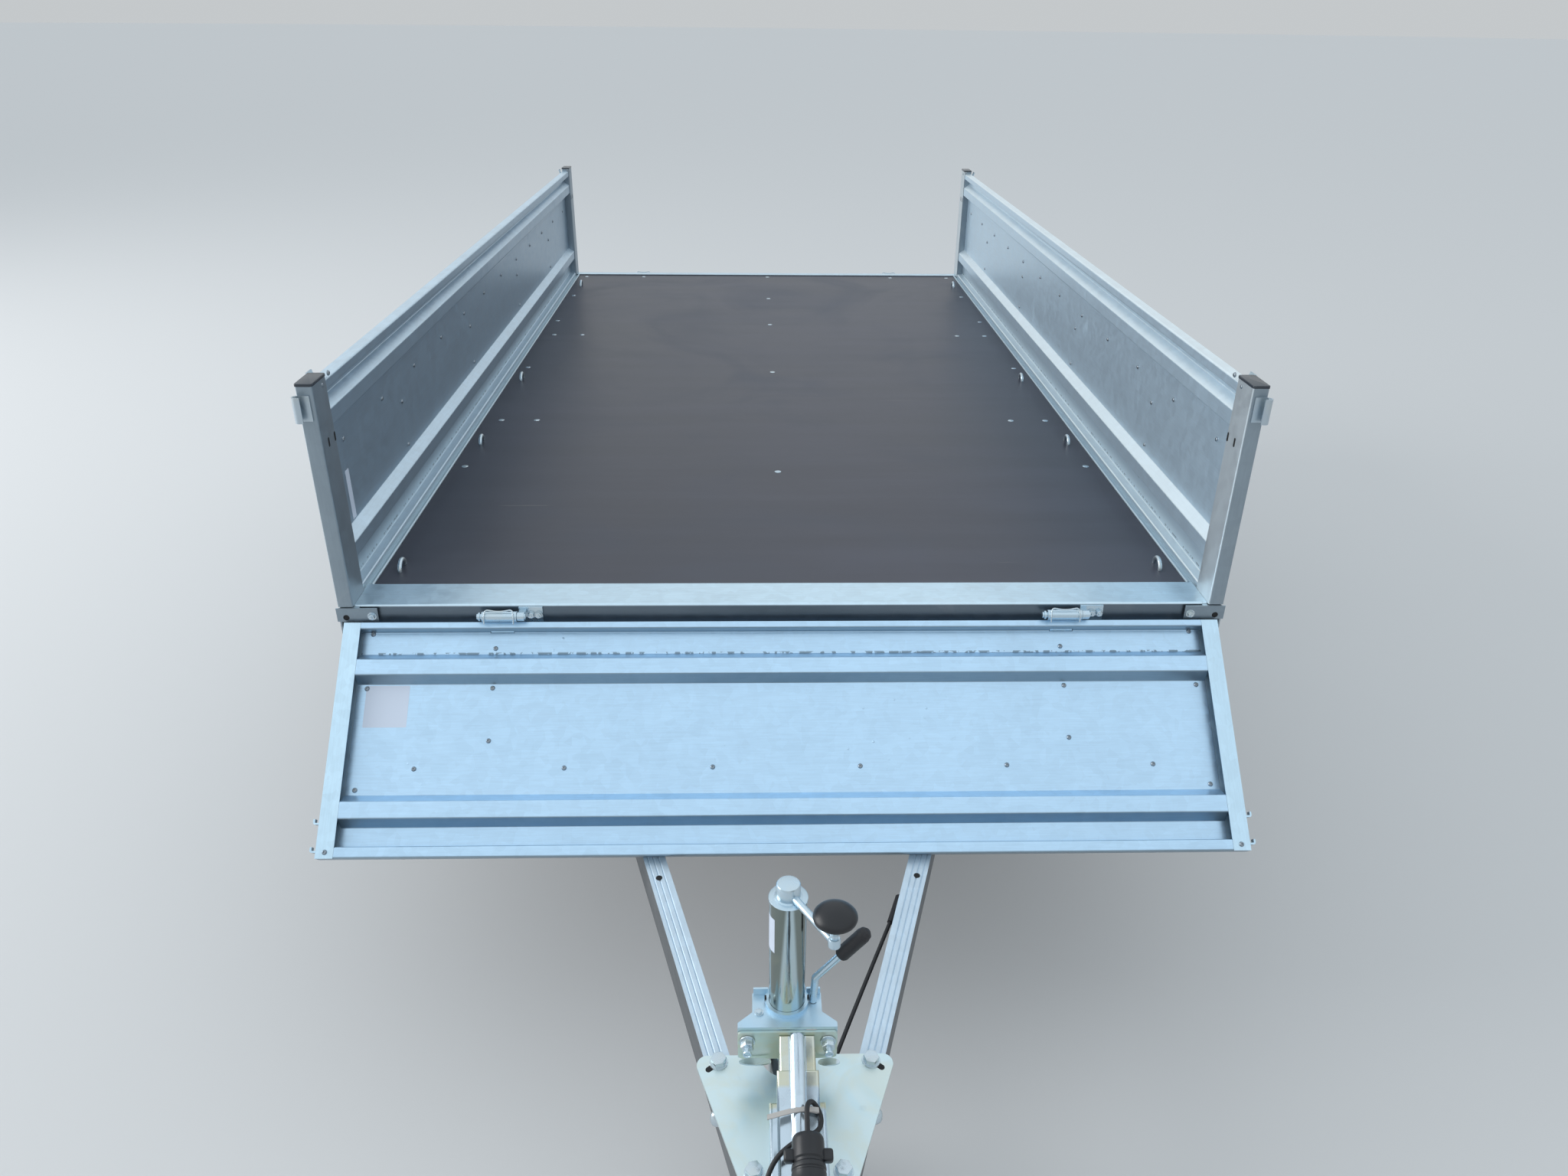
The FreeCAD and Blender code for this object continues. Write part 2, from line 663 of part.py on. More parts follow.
def tilt_on_legs(shape):
    """Set a flat shape drawn at z = 0 on the sloping tops of the legs."""
    tilted = turned(shape, Vector(0, LEG_BOLT_Y, 0), across, LEG_SLOPE)
    return moved(tilted, 0, 0, leg_top(LEG_BOLT_Y) + GAP)


nodes["drawbar_plate"] = tilt_on_legs(make_drawbar_plate())


def make_coupling_body():
    """Pressed housing on the plate: narrow at the rear, stepped wider to the front, ridge on top."""
    rear = flat_y(coupling_rear_y, PLATE_THICKNESS + GAP)
    front = COUPLING_FRONT
    body = None
    for y, w, h in [(rear, 22.0, 50.0)] + COUPLING_STEPS:
        outline = [(-w, 0), (w, 0), (w, h - 12), (w - 10, h), (-w + 10, h), (-w, h - 12)]
        piece = prism(outline, xz, y, Vector(0, front - y, 0), [0, 0, 4, 4, 4, 4])
        body = piece if body is None else body.fuse(piece)
    ridge = rod(Vector(0, rear - 2, RIDGE_AXIS), Vector(0, -1, 0), RIDGE_RADIUS, rear - 12 - front)
    step = COUPLING_STEPS[0][0]
    hood = prism([(rear, 0), (rear, HOOD_HEIGHT), (step, RIDGE_AXIS), (step, 0)], yz, -HOOD_HALF,
                 Vector(2 * HOOD_HALF, 0, 0))
    crest = prism([(rear, RIDGE_AXIS), (rear, HOOD_HEIGHT + HOOD_CREST), (step, RIDGE_AXIS + RIDGE_RADIUS),
                   (step, RIDGE_AXIS)], yz, -RIDGE_RADIUS, Vector(2 * RIDGE_RADIUS, 0, 0))
    body = body.fuse([ridge, hood, crest])
    return moved(body, 0, 0, PLATE_THICKNESS + GAP)


def make_coupling_head():
    """Ball socket: domed head with a round recess below."""
    centre = Vector(0, BALL_Y, 30.0)
    back = COUPLING_FRONT - GAP
    neck = prism([(-30, back), (30, back), (34, BALL_Y), (-34, BALL_Y)], xy, 2.0, Vector(0, 0, 50))
    cup = rod(Vector(0, BALL_Y, 2.0), Vector(0, 0, 1), HEAD_RADIUS, 46.0)
    dome = Part.makeSphere(HEAD_RADIUS, Vector(0, BALL_Y, 30.0))
    dome = dome.common(box(-50, 50, BALL_Y - 50, BALL_Y + 50, 30, 80))
    head = cup.fuse([neck, dome])
    recess = Part.makeSphere(BALL_RADIUS + 0.5, centre)
    mouth = rod(Vector(0, BALL_Y, -5.0), Vector(0, 0, 1), BALL_RADIUS + 0.5, 35.0)
    return head.cut(recess.fuse(mouth))


nodes["coupling_body"] = tilt_on_legs(make_coupling_body())
nodes["coupling_head"] = tilt_on_legs(make_coupling_head())


def make_coupling_handle():
    """Lift handle over the head, pivoted at its sides."""
    path = [(BALL_Y - 20, 60), (BALL_Y + 10, 78), (BALL_Y + 60, 92), (BALL_Y + 105, 118)]
    strap = folded(path[::-1], 5.0, 6.0, yz, -14.0, Vector(28, 0, 0))
    side = HEAD_RADIUS + 2 * GAP
    cheek = prism([(BALL_Y - 26, 24), (BALL_Y + 20, 24), (BALL_Y + 20, 86), (BALL_Y - 22, 62)], yz, side,
                  Vector(4, 0, 0), [8, 8, 6, 6])
    bridge = box(-side - 4, side + 4, BALL_Y - 18, BALL_Y + 14, 68, 73)
    return strap.fuse([cheek, mirrored(cheek), bridge])


nodes["coupling_handle"] = tilt_on_legs(make_coupling_handle())
socket_centre = tilt_on_legs(Part.Vertex(Vector(0, BALL_Y, 30.0))).Point


# Jockey stand

up = Vector(0, 0, 1)
jockey_foot = jockey_top_z - JOCKEY_OUTER_LENGTH


def make_jockey_bracket():
    """Plate with a turned-down front and the collar that clamps the tube."""
    z = jockey_bracket_z
    x = JOCKEY_X
    rear, waist, front = JOCKEY_Y + 14, JOCKEY_Y - 18, JOCKEY_Y - BRACKET_REACH
    points = [(x - 46, rear), (x + 46, rear), (x + 46, waist), (x + 65, front + 8), (x + 65, front),
              (x - 65, front), (x - 65, front + 8), (x - 46, waist)]
    plate = prism(points, xy, z - JOCKEY_BRACKET_THICKNESS, Vector(0, 0, JOCKEY_BRACKET_THICKNESS))
    flange = box(x - 65, x + 65, front, front + 4, z - 55, z)
    collar = rod(Vector(x, JOCKEY_Y, z - 40), up, JOCKEY_OUTER_RADIUS + 5, 46)
    bracket = plate.fuse([flange, collar])
    bracket = bracket.cut(rod(Vector(x, JOCKEY_Y, z - 90), up, JOCKEY_OUTER_RADIUS + GAP, 120))
    return bracket.cut(box(-26, 26, front - 5, front + 9, z - 90, z - JOCKEY_BRACKET_THICKNESS))


def make_yoke():
    """Plate welded across the rear of the coupling, to which the bracket is bolted."""
    front = JOCKEY_Y - BRACKET_REACH
    z = jockey_bracket_z
    points = [(JOCKEY_X - 65, z - 5), (JOCKEY_X + 65, z - 5), (JOCKEY_X + 65, z - 53), (23, z - 53),
              (23, z - 100), (-23, z - 100), (-23, z - 53), (JOCKEY_X - 65, z - 53)]
    yoke = prism(points, xz, front - GAP, Vector(0, -YOKE_THICKNESS, 0), [6, 6, 8, 3, 3, 3, 3, 8])
    return yoke


def make_outer_tube():
    """Clamped tube with its turned head and crank hub."""
    foot = Vector(JOCKEY_X, JOCKEY_Y, jockey_foot)
    tube = pipe(foot, up, JOCKEY_OUTER_RADIUS, JOCKEY_OUTER_RADIUS - JOCKEY_OUTER_WALL, JOCKEY_OUTER_LENGTH)
    lid = rod(Vector(JOCKEY_X, JOCKEY_Y, jockey_top_z), up, JOCKEY_OUTER_RADIUS + 1, 4)
    return tube.fuse(lid)


CRANK_ACROSS = 48.0
CRANK_FORWARD = 77.0


def make_crank():
    """Hub, arm and upright spindle of the crank."""
    top = jockey_top_z + 4 + GAP
    hub = rod(Vector(JOCKEY_X, JOCKEY_Y, top), up, 15.0, 22.0)
    tip = Vector(JOCKEY_X + CRANK_ACROSS, JOCKEY_Y - CRANK_FORWARD, top + 4)
    start = Vector(JOCKEY_X, JOCKEY_Y, top + 12)
    arm = rod(start, tip - start, 6.0, (tip - start).Length)
    end = rod(tip - Vector(0, 0, 7), up, 8.0, 14)
    spindle = rod(tip, up, 4.0, 40)
    return hub.fuse([arm, end, spindle]), tip


crank, crank_tip = make_crank()


def make_knob():
    """Mushroom knob on the crank's spindle."""
    base = 9.0
    points = [(4.3, base), (11, base), (13, base + 12), (25, base + 17), (29, base + 23), (26, base + 31),
              (18, base + 36), (7, base + 38.5), (0, base + 39), (0, base + 33), (4.3, base + 33)]
    knob = revolve(points, 0.0, Vector(0, 0, 0), up, xz)
    return moved(knob, crank_tip.x, crank_tip.y, crank_tip.z)


nodes["jockey_bracket"] = make_jockey_bracket()
nodes["coupling_yoke"] = make_yoke()
nodes["jockey_outer_tube"] = make_outer_tube()
nodes["jockey_crank"] = crank
nodes["crank_knob"] = make_knob()


def make_clamp_lever():
    """Bent rod of the clamp screw, with its grip."""
    x = JOCKEY_X + JOCKEY_OUTER_RADIUS + 5 + 5 + 1
    start = Vector(x, JOCKEY_Y, jockey_bracket_z + 1)
    middle = start + Vector(2, -2, 44)
    tip = middle + Vector(32, -6, 46)
    lower = rod(start, middle - start, 5.0, (middle - start).Length)
    upper = rod(middle, tip - middle, 5.0, (tip - middle).Length)
    knee = Part.makeSphere(5.0, middle)
    heading = (tip - middle).normalize()
    outline = [(0, 0), (9, 0), (10, 3), (10, 46), (8.5, 52), (5, 55.5), (0, 56.5)]
    grip = revolve(outline, 0.0, Vector(0, 0, 0), up, xz)
    grip.Placement = Placement(tip + heading * GAP, Rotation(up, heading))
    return lower.fuse([knee, upper]), grip


lever, grip = make_clamp_lever()
nodes["clamp_lever"] = lever
nodes["clamp_grip"] = grip

jockey_axle_z = ground + JOCKEY_WHEEL_RADIUS
fork_top = jockey_axle_z + JOCKEY_WHEEL_RADIUS + 22


def make_inner_tube():
    """Sliding tube with the bearing plate of the castor."""
    foot = Vector(JOCKEY_X, JOCKEY_Y, fork_top + 6)
    length = jockey_top_z - JOCKEY_UP - 12 - foot.z
    tube = pipe(foot, up, JOCKEY_INNER_RADIUS, JOCKEY_INNER_RADIUS - JOCKEY_INNER_WALL, length)
    disc = rod(foot, up, 30.0, 5.0)
    pivot = rod(foot - Vector(0, 0, 14), up, 8.0, 15)
    return tube.fuse([disc, pivot])


def make_fork():
    """Castor fork: bridge over the wheel and two tapered cheeks, with the axle bolt."""
    x, y = JOCKEY_X, JOCKEY_Y
    inside = JOCKEY_WHEEL_WIDTH / 2 + 5
    trail_y = y + JOCKEY_TRAIL
    bridge = box(x - inside - 4, x + inside + 4, y - 34, y + 34, fork_top, fork_top + 5)
    cheek_points = [(y - 34, fork_top + 5), (y + 34, fork_top + 5), (trail_y + 16, jockey_axle_z),
                    (trail_y, jockey_axle_z - 16), (trail_y - 16, jockey_axle_z)]
    cheek = prism(cheek_points, yz, x + inside, Vector(4, 0, 0), [4, 4, 10, 8, 10])
    other = prism(cheek_points, yz, x - inside - 4, Vector(4, 0, 0), [4, 4, 10, 8, 10])
    bolt = rod(Vector(x - inside - 8, trail_y, jockey_axle_z), across, 6.0, 2 * inside + 16)
    fork = bridge.fuse([cheek, other, bolt])
    return fork.cut(rod(Vector(x, y, fork_top - 20), up, 8.0 + GAP, 60))


def make_jockey_wheel():
    """Solid tyre on a dished disc with a bushed hub."""
    trail_y = JOCKEY_Y + JOCKEY_TRAIL
    w, r = JOCKEY_WHEEL_WIDTH / 2, JOCKEY_WHEEL_RADIUS
    seat = r - 38
    tyre = revolve([(-w, seat), (w, seat), (w, r - 6), (w - 10, r), (-w + 10, r), (-w, r - 6)], 0.0,
                   Vector(0, 0, 0), across, xz)
    centre = revolve([(-w - 3, 6.3), (w + 3, 6.3), (w + 3, 20), (8, 24), (8, 48), (w - 2, 52),
                      (w - 4, seat - GAP), (-w + 4, seat - GAP), (-w + 2, 52), (-8, 48), (-8, 24), (-w - 3, 20)],
                     0.0, Vector(0, 0, 0), across, xz)
    place = (JOCKEY_X, trail_y, jockey_axle_z)
    return moved(tyre, *place), moved(centre, *place)


nodes["jockey_inner_tube"] = make_inner_tube()
nodes["jockey_fork"] = make_fork()
nodes["jockey_tyre"], nodes["jockey_hub"] = make_jockey_wheel()


# Wiring cable with its boot and plug

PLUG_RADIUS = 22.0
PLUG_LENGTH = 84.0
PLUG_DROP = 7.7
BOOT_LENGTH = 54.0


def on_legs(x, y, height):
    return Vector(x, y, leg_top(y) + height)


def make_cord(points, diameter):
    """Tube of straight runs joined by tangent arcs, each as large as its two runs allow."""
    edges = []
    start = points[0]
    for before, corner, after in zip(points, points[1:], points[2:]):
        inward, outward = corner - before, after - corner
        shorter = min(inward.Length, outward.Length)
        inward.normalize()
        outward.normalize()
        turn = inward.getAngle(outward)
        radius = 0.45 * shorter / math.tan(turn / 2)
        reach = 0.45 * shorter
        middle = corner + (outward - inward).normalize() * (radius / math.cos(turn / 2) - radius)
        edges.append(Part.LineSegment(start, corner - inward * reach).toShape())
        edges.append(Part.Arc(corner - inward * reach, middle, corner + outward * reach).toShape())
        start = corner + outward * reach
        print("cable bend", round(radius, 1))
    edges.append(Part.LineSegment(start, points[-1]).toShape())
    spine = Part.Wire(edges)
    circle = Part.Circle(points[0], points[1] - points[0], diameter / 2).toShape()
    tube = spine.makePipeShell([Part.Wire(circle)], True, False)
    print("cable length", round(spine.Length, 1), "volume share",
          round(tube.Volume / (math.pi * diameter ** 2 / 4 * spine.Length), 4))
    return tube


cable_points = [on_legs(*row) for row in CABLE_ROUTE]
cable_points[0].x = leg_x(CABLE_ROUTE[0][1]) - CABLE_EXIT_INSET


def make_boot():
    """Tapered rubber boot on the inner wall of the right leg, where the cable comes out."""
    heading = (cable_points[0] - cable_points[1]).normalize()
    outline = [(0, 0), (CABLE_DIAMETER / 2 + 1.5, 0), (8.0, BOOT_LENGTH), (0, BOOT_LENGTH)]
    boot = revolve(outline, 0.0, Vector(0, 0, 0), up, xz)
    boot.Placement = Placement(cable_points[0] + heading * GAP, Rotation(up, heading))
    wall = -LEG_WIDTH / 2 - GAP
    solid_leg = box(wall, wall + 4 * BOOT_LENGTH, 0, LEG_REAR_Y - LEG_FRONT_Y, -LEG_HEIGHT, 0)
    solid_leg.Placement = leg_place
    return boot.cut(solid_leg)


def make_plug():
    """Round plug with a turned grip, two lugs and an open front with its contact block."""
    r = PLUG_RADIUS
    outline = [(0, 0), (6, 0), (7, 7), (14, 9), (r - 2, 15), (r, 20), (r, 24), (r - 1.5, 26), (r - 1.5, 54),
               (r, 56), (r + 2.5, 60), (r + 2.5, PLUG_LENGTH), (r - 0.5, PLUG_LENGTH), (r - 0.5, 62),
               (r - 6, 62), (r - 6, PLUG_LENGTH - 4), (0, PLUG_LENGTH - 4)]
    body = revolve(outline, 0.0, Vector(0, 0, 0), up, xz)
    for side in (-1, 1):
        x0, x1 = sorted((side * (r - 5), side * (r + 8)))
        body = body.fuse(box(x0, x1, -7, 7, 28, 44))
    rear = cable_points[-1]
    slope = math.radians(LEG_SLOPE + PLUG_DROP)
    heading = Vector(0, -math.cos(slope), -math.sin(slope))
    body.Placement = Placement(rear + heading * GAP, Rotation(up, heading))
    return body


nodes["wiring_cable"] = make_cord(cable_points, CABLE_DIAMETER)
nodes["cable_boot"] = make_boot()
nodes["cable_plug"] = make_plug()


# Running gear

arm_drop = ARM_LENGTH * math.sin(math.radians(ARM_ANGLE))
arm_back = ARM_LENGTH * math.cos(math.radians(ARM_ANGLE))
beam_y = AXLE_Y - arm_back
beam_z = wheel_z + arm_drop
arm_inner = beam_outer + 1.0
ARM_THICKNESS = 18.0


def make_axle_beam():
    size = AXLE_BEAM_SIZE / 2
    outline = [(beam_y - size, beam_z - size), (beam_y + size, beam_z - size), (beam_y + size, beam_z + size),
               (beam_y - size, beam_z + size)]
    length = 2 * (arm_inner - GAP)
    beam = prism(outline, yz, -length / 2, Vector(length, 0, 0), 8.0)
    bore = prism([(beam_y + (y - beam_y) * 0.85, beam_z + (z - beam_z) * 0.85) for y, z in outline], yz,
                 -length / 2 - 1, Vector(length + 2, 0, 0), 5.0)
    return beam.cut(bore)


def make_axle_bracket():
    """Tapered channel from the main beam down to the axle beam."""
    x1 = beam_outer - 3
    x0 = x1 - 44
    top = beam_bottom - GAP
    low = beam_z + AXLE_BEAM_SIZE / 2 + GAP
    cheek_points = [(beam_y - 100, top), (beam_y + 100, top), (beam_y + 48, low), (beam_y - 48, low)]
    cheek = prism(cheek_points, yz, x1 - 5, Vector(5, 0, 0))
    head = box(x0, x1, beam_y - 100, beam_y + 100, top - 5, top)
    foot = box(x0, x1, beam_y - 48, beam_y + 48, low, low + 6)
    rib = prism([(x0, top), (x1, top), (x1, low), (x0, low)], xz, beam_y - 2.5, Vector(0, 5, 0))
    return cheek.fuse([head, foot, rib])


def make_swing_arm():
    """Trailing arm with the stub axle."""
    plate_top = Vector(arm_inner, beam_y, beam_z)
    low = Vector(arm_inner, AXLE_Y, wheel_z)
    boss = rod(plate_top, across, 42.0, ARM_THICKNESS)
    eye = rod(low, across, 30.0, ARM_THICKNESS)
    along = (low - plate_top).normalize()
    aside = Vector(0, -along.z, along.y)
    corners = [plate_top + aside * 36, low + aside * 26, low - aside * 26, plate_top - aside * 36]
    web = prism([(c.y, c.z) for c in corners], yz, arm_inner, Vector(ARM_THICKNESS, 0, 0))
    stub = rod(low, across, 16.0, flange_x + 8 - arm_inner)
    return boss.fuse([eye, web, stub])


def make_hub():
    """Turned hub with wheel flange and grease cap."""
    bore = 16.0 + GAP
    back = arm_inner + ARM_THICKNESS + 2
    points = [(back, bore), (flange_x + 12, bore), (flange_x + 12, 0), (flange_x + 28, 0), (flange_x + 28, 24),
              (flange_x + 6, 29), (flange_x, 33), (flange_x, 66), (flange_x - 11, 66), (flange_x - 13, 38),
              (back, 34)]
    hub = revolve(points, 0.0, Vector(0, 0, 0), across, xz)
    return moved(hub, 0, AXLE_Y, wheel_z)


def make_rim():
    """Pressed 13 inch wheel: drop-centre rim and a dished disc with hand holes."""
    c = wheel_x
    t = 3.0
    r = RIM_SEAT_RADIUS
    line = [(c - 64, r + 16), (c - 60, r), (c - 40, r - 3), (c - 30, r - 18), (c + 8, r - 18),
            (c + 22, r - 3), (c + 60, r), (c + 64, r + 16)]
    outline = line + [(x, y - t * 1.2) for x, y in line[::-1]]
    barrel = revolve(outline, 0.0, Vector(0, 0, 0), across, xz)
    disc_line = [(flange_x + GAP, 34), (flange_x + GAP, 70), (flange_x + 14, 92), (flange_x + 8, 118),
                 (c + 12, r - 17)]
    disc_outline = disc_line + [(x + 5, y + 1) for x, y in disc_line[::-1]]
    disc = revolve(disc_outline, 0.0, Vector(0, 0, 0), across, xz)
    for k in range(10):
        angle = 2 * math.pi * k / 10
        hole = rod(Vector(c - 20, 118 * math.cos(angle), 118 * math.sin(angle)), across, 11.0, 90)
        disc = disc.cut(hole)
    rim = barrel.fuse(disc)
    return moved(rim, 0, AXLE_Y, wheel_z)


def make_tyre():
    """Radial tyre: outline turned once round the axle."""
    c = wheel_x
    w = TYRE_WIDTH / 2
    r0, r1 = RIM_SEAT_RADIUS + GAP, TYRE_RADIUS
    half_line = [(42, r1 - 18), (42, r0), (57, r0), (62, r0 + 16), (w, r0 + 28), (w, r1 - 20), (w - 15, r1)]
    points = [(c - x, r) for x, r in half_line] + [(c + x, r) for x, r in half_line[::-1]]
    tyre = revolve(points, 0.0, Vector(0, 0, 0), across, xz)
    return moved(tyre, 0, AXLE_Y, wheel_z)


nodes["axle_beam"] = make_axle_beam()
nodes["axle_brackets"] = both(make_axle_bracket())
nodes["swing_arms"] = both(make_swing_arm())
for side, flip in (("right", lambda s: s), ("left", mirrored)):
    nodes["hub_" + side] = flip(make_hub())
    nodes["rim_" + side] = flip(make_rim())
    nodes["tyre_" + side] = flip(make_tyre())


# Mudguards

GUARD_WIDTH = 210.0
GUARD_SHEET = 3.0
GUARD_LIP = 16.0
GUARD_RIB = 3.0
GUARD_RIB_PLACES = [-48.0, 48.0]
GUARD_END_ANGLE = 24.0
STAY_HALF_SPAN = 422.0
STAY_OFFSETS = [-44.0, 45.0]


def guard_line(radius, side, rib):
    """Half-open cross-section line of the arch: lip, shoulder, crown with ribs, shoulder, lip."""
    line = [(-side, guard_radius - GUARD_LIP), (-side, radius - 7), (-side + 7, radius)]
    for centre in GUARD_RIB_PLACES:
        line += [(centre - 9, radius), (centre - 6, radius + rib), (centre + 6, radius + rib), (centre + 9, radius)]
    return line + [(side - 7, radius), (side, radius - 7), (side, guard_radius - GUARD_LIP)]


def make_mudguard():
    """Moulded plastic arch over the tyre, with lips, two ribs and level tabs at its ends."""
    side = GUARD_WIDTH / 2
    outer = guard_line(guard_radius, side, GUARD_RIB)
    inner = guard_line(guard_radius - GUARD_SHEET, side - GUARD_SHEET, GUARD_RIB)
    tab_z = guard_radius * math.sin(math.radians(GUARD_END_ANGLE))
    low = tab_z - GUARD_SHEET
    reach = STAY_HALF_SPAN + 15
    arch = revolve(outer + inner[::-1], 0.0, Vector(0, 0, 0), across, xz)
    arch = arch.common(box(-side - 1, side + 1, -reach, reach, low, guard_radius + 2 * GUARD_RIB))
    inside = math.sqrt((guard_radius - GUARD_SHEET / 2) ** 2 - tab_z ** 2)
    tabs = [box(-side, side, y0, y1, low, tab_z) for y0, y1 in ((-reach, -inside), (inside, reach))]
    return moved(arch.fuse(tabs), wheel_x, AXLE_Y, wheel_z), wheel_z + tab_z


guard, guard_tab_z = make_mudguard()


def make_stays():
    """Flat straps from the floor down to the tabs of the mudguard."""
    stays = []
    for y in (AXLE_Y - STAY_HALF_SPAN, AXLE_Y + STAY_HALF_SPAN):
        for x in [wheel_x + offset for offset in STAY_OFFSETS]:
            top = deck_bottom - GAP
            low = guard_tab_z + GAP
            foot = box(x - 14, x + 14, y - 14, y + 14, top - 4, top)
            strap = box(x - 14, x + 14, y - 2, y + 2, low, top)
            tab = box(x - 14, x + 14, y - 14, y + 14, low, low + 4)
            stays.append(foot.fuse([strap, tab]))
    return stays


nodes["mudguards"] = both(guard)
stays = make_stays()
nodes["mudguard_stays"] = pack_together(stays + [mirrored(s) for s in stays])


# Corner plates, keepers, latches, loops, hooks

CORNER_SHEET = 2.0
CORNER_HOLE_RADIUS = 5.5
CORNER_HOLE_IN = 13.0
# rows: inner Y, height of the hole, lower edge
CORNER_PLATES = [(-CORNER_SHEET - GAP, -20.0, -28.0), (BED_LENGTH + GAP, -17.0, -26.0)]


def make_corner_plates():
    """Plates that tie the foot of each post to rail and sill, with one hole."""
    plates = []
    for y0, hole_z, low in CORNER_PLATES:
        plate = box(half - 68, half + 3, y0, y0 + CORNER_SHEET, low, -2)
        plate = plate.cut(rod(Vector(half - CORNER_HOLE_IN, y0 - 1, hole_z), Vector(0, 1, 0),
                              CORNER_HOLE_RADIUS, CORNER_SHEET + 2))
        plates.append(both(plate))
    return pack_together(plates)


KEEPER_FOOT = 56.0
KEEPER_HEIGHT = 42.0
KEEPER_WIDTH = 30.0
KEEPER_REACH = 15.0
KEEPER_SHEET = 3.0
FINGERS_FROM_TOP = [55.0, 10.0]
FINGER_REACH = 11.0
FINGER_WIDTH = 10.0


def make_keepers():
    """Hooked keepers on the end faces of the posts."""
    z0 = post_height - KEEPER_FOOT
    path = [(-GAP, z0 + KEEPER_HEIGHT), (-GAP, z0), (-KEEPER_REACH, z0), (-KEEPER_REACH, z0 + KEEPER_HEIGHT * 0.4)]
    x0 = half + 8 - KEEPER_WIDTH
    keeper = folded(path, KEEPER_SHEET, 1.5, yz, x0, Vector(KEEPER_WIDTH, 0, 0))
    rear = keeper.mirror(Vector(0, BED_LENGTH / 2, 0), Vector(0, 1, 0))
    return pack_together([both(keeper), both(rear)])


def make_fingers(place, sign):
    """Bent fingers at the board's ends that lie behind the keepers."""
    edge = BOARD_WIDTH / 2 + GAP
    y, z = place(0, -BOARD_DEPTH / 2)
    fingers = []
    for s in [BOARD_HEIGHT - d for d in FINGERS_FROM_TOP]:
        path = [(edge, z + s), (edge + FINGER_REACH, z + s), (edge + FINGER_REACH, z + s - 9)]
        run = Vector(0, sign * FINGER_WIDTH, 0)
        fingers.append(folded(path, 3.0, 1.0, xz, y - sign * FINGER_WIDTH / 2, run))
    return pack_together(fingers + [mirrored(f) for f in fingers])


LATCH_WIDTH = 20.0
LATCH_GAP = 9.0


def make_side_latches():
    """Levers that lock the side boards to the posts, on the outside near the top."""
    x, z = side_board_outer + GAP, post_height
    path = [(x, z - 74), (x, z - 22), (x + 7, z + 2)]
    latches = []
    for y in (POST_DEPTH + LATCH_GAP, BED_LENGTH - POST_DEPTH - LATCH_GAP - LATCH_WIDTH):
        lever = folded(path, 3.0, 4.0, xz, y, Vector(0, LATCH_WIDTH, 0))
        latches.append(both(lever))
    return pack_together(latches)


LOOP_FROM_FRONT = [155.0, 838.0, 1361.0]
LOOP_FROM_REAR = [239.0]
LOOP_EDGE = 31.7
LOOP_BAR = 8.0
LOOP_RADIUS = 17.0
loop_places = LOOP_FROM_FRONT + [BED_LENGTH - d for d in LOOP_FROM_REAR]
loop_x = deck_half - LOOP_EDGE


def make_tie_loops():
    """Half-ring tie-down loops standing on the floor."""
    loops = []
    floor = deck_top + GAP
    for y in loop_places:
        start = Vector(loop_x - LOOP_BAR / 2, y, floor)
        ring = pipe(start, across, LOOP_RADIUS + LOOP_BAR / 2, LOOP_RADIUS - LOOP_BAR / 2, LOOP_BAR)
        reach = LOOP_RADIUS + LOOP_BAR
        loop = ring.common(box(loop_x - reach, loop_x + reach, y - reach, y + reach, floor, floor + reach))
        loops.append(both(loop))
    return pack_together(loops)


HOOK_FROM_TOP = 148.0
hook_s = BOARD_HEIGHT - HOOK_FROM_TOP
HOOK_XS = [125.0, 375.0, 626.0]
HOOK_DEPTH = 12.0


def button(base, axis):
    """Button-shaped rope hook."""
    neck = rod(base, axis, 6.0, HOOK_DEPTH - 4)
    head = rod(base + axis * (HOOK_DEPTH - 4), axis, 11.0, 4)
    return neck.fuse(head)


def make_end_hooks(place, sign):
    y, z = place(hook_s, -BOARD_DEPTH - BOARD_SHEET)
    axis = Vector(0, sign, 0)
    hooks = [button(Vector(x, y, z) + axis * GAP, axis) for x in HOOK_XS]
    return pack_together(hooks + [mirrored(h) for h in hooks])


SIDE_HOOK_COUNT = 7
SIDE_HOOK_END = 200.0


def make_side_hooks():
    step = (BED_LENGTH - 2 * SIDE_HOOK_END) / (SIDE_HOOK_COUNT - 1)
    hooks = []
    for i in range(SIDE_HOOK_COUNT):
        base = Vector(side_board_outer + GAP, SIDE_HOOK_END + i * step, hook_s - 6)
        hooks.append(button(base, across))
    return pack_together(hooks + [mirrored(h) for h in hooks])


nodes["corner_plates"] = make_corner_plates()
nodes["keepers"] = make_keepers()
front_ends = pack_together([make_end_frames(place_front), make_fingers(place_front, -1)])
tail_ends = pack_together([make_end_frames(place_tail), make_fingers(place_tail, 1)])
nodes["front_board_frames"] = open_front(front_ends)
nodes["tail_board_frames"] = open_tail(tail_ends)
nodes["side_latches"] = make_side_latches()
nodes["tie_loops"] = make_tie_loops()
nodes["front_board_hooks"] = open_front(make_end_hooks(place_front, -1))
nodes["tail_board_hooks"] = open_tail(make_end_hooks(place_tail, 1))
nodes["side_board_hooks"] = make_side_hooks()


# Rear valance with lamps, blank plate and reflectors

VALANCE_Y = BED_LENGTH - 62.0
VALANCE_LOW = -170.0
LAMP_WIDTH = 130.0
LAMP_HEIGHT = 90.0
LAMP_DEPTH = 22.0


def make_valance():
    top = deck_bottom - CROSS_HEIGHT - 2 * GAP
    return box(-half + 30, half - 30, VALANCE_Y, VALANCE_Y + 2.5, VALANCE_LOW, top)


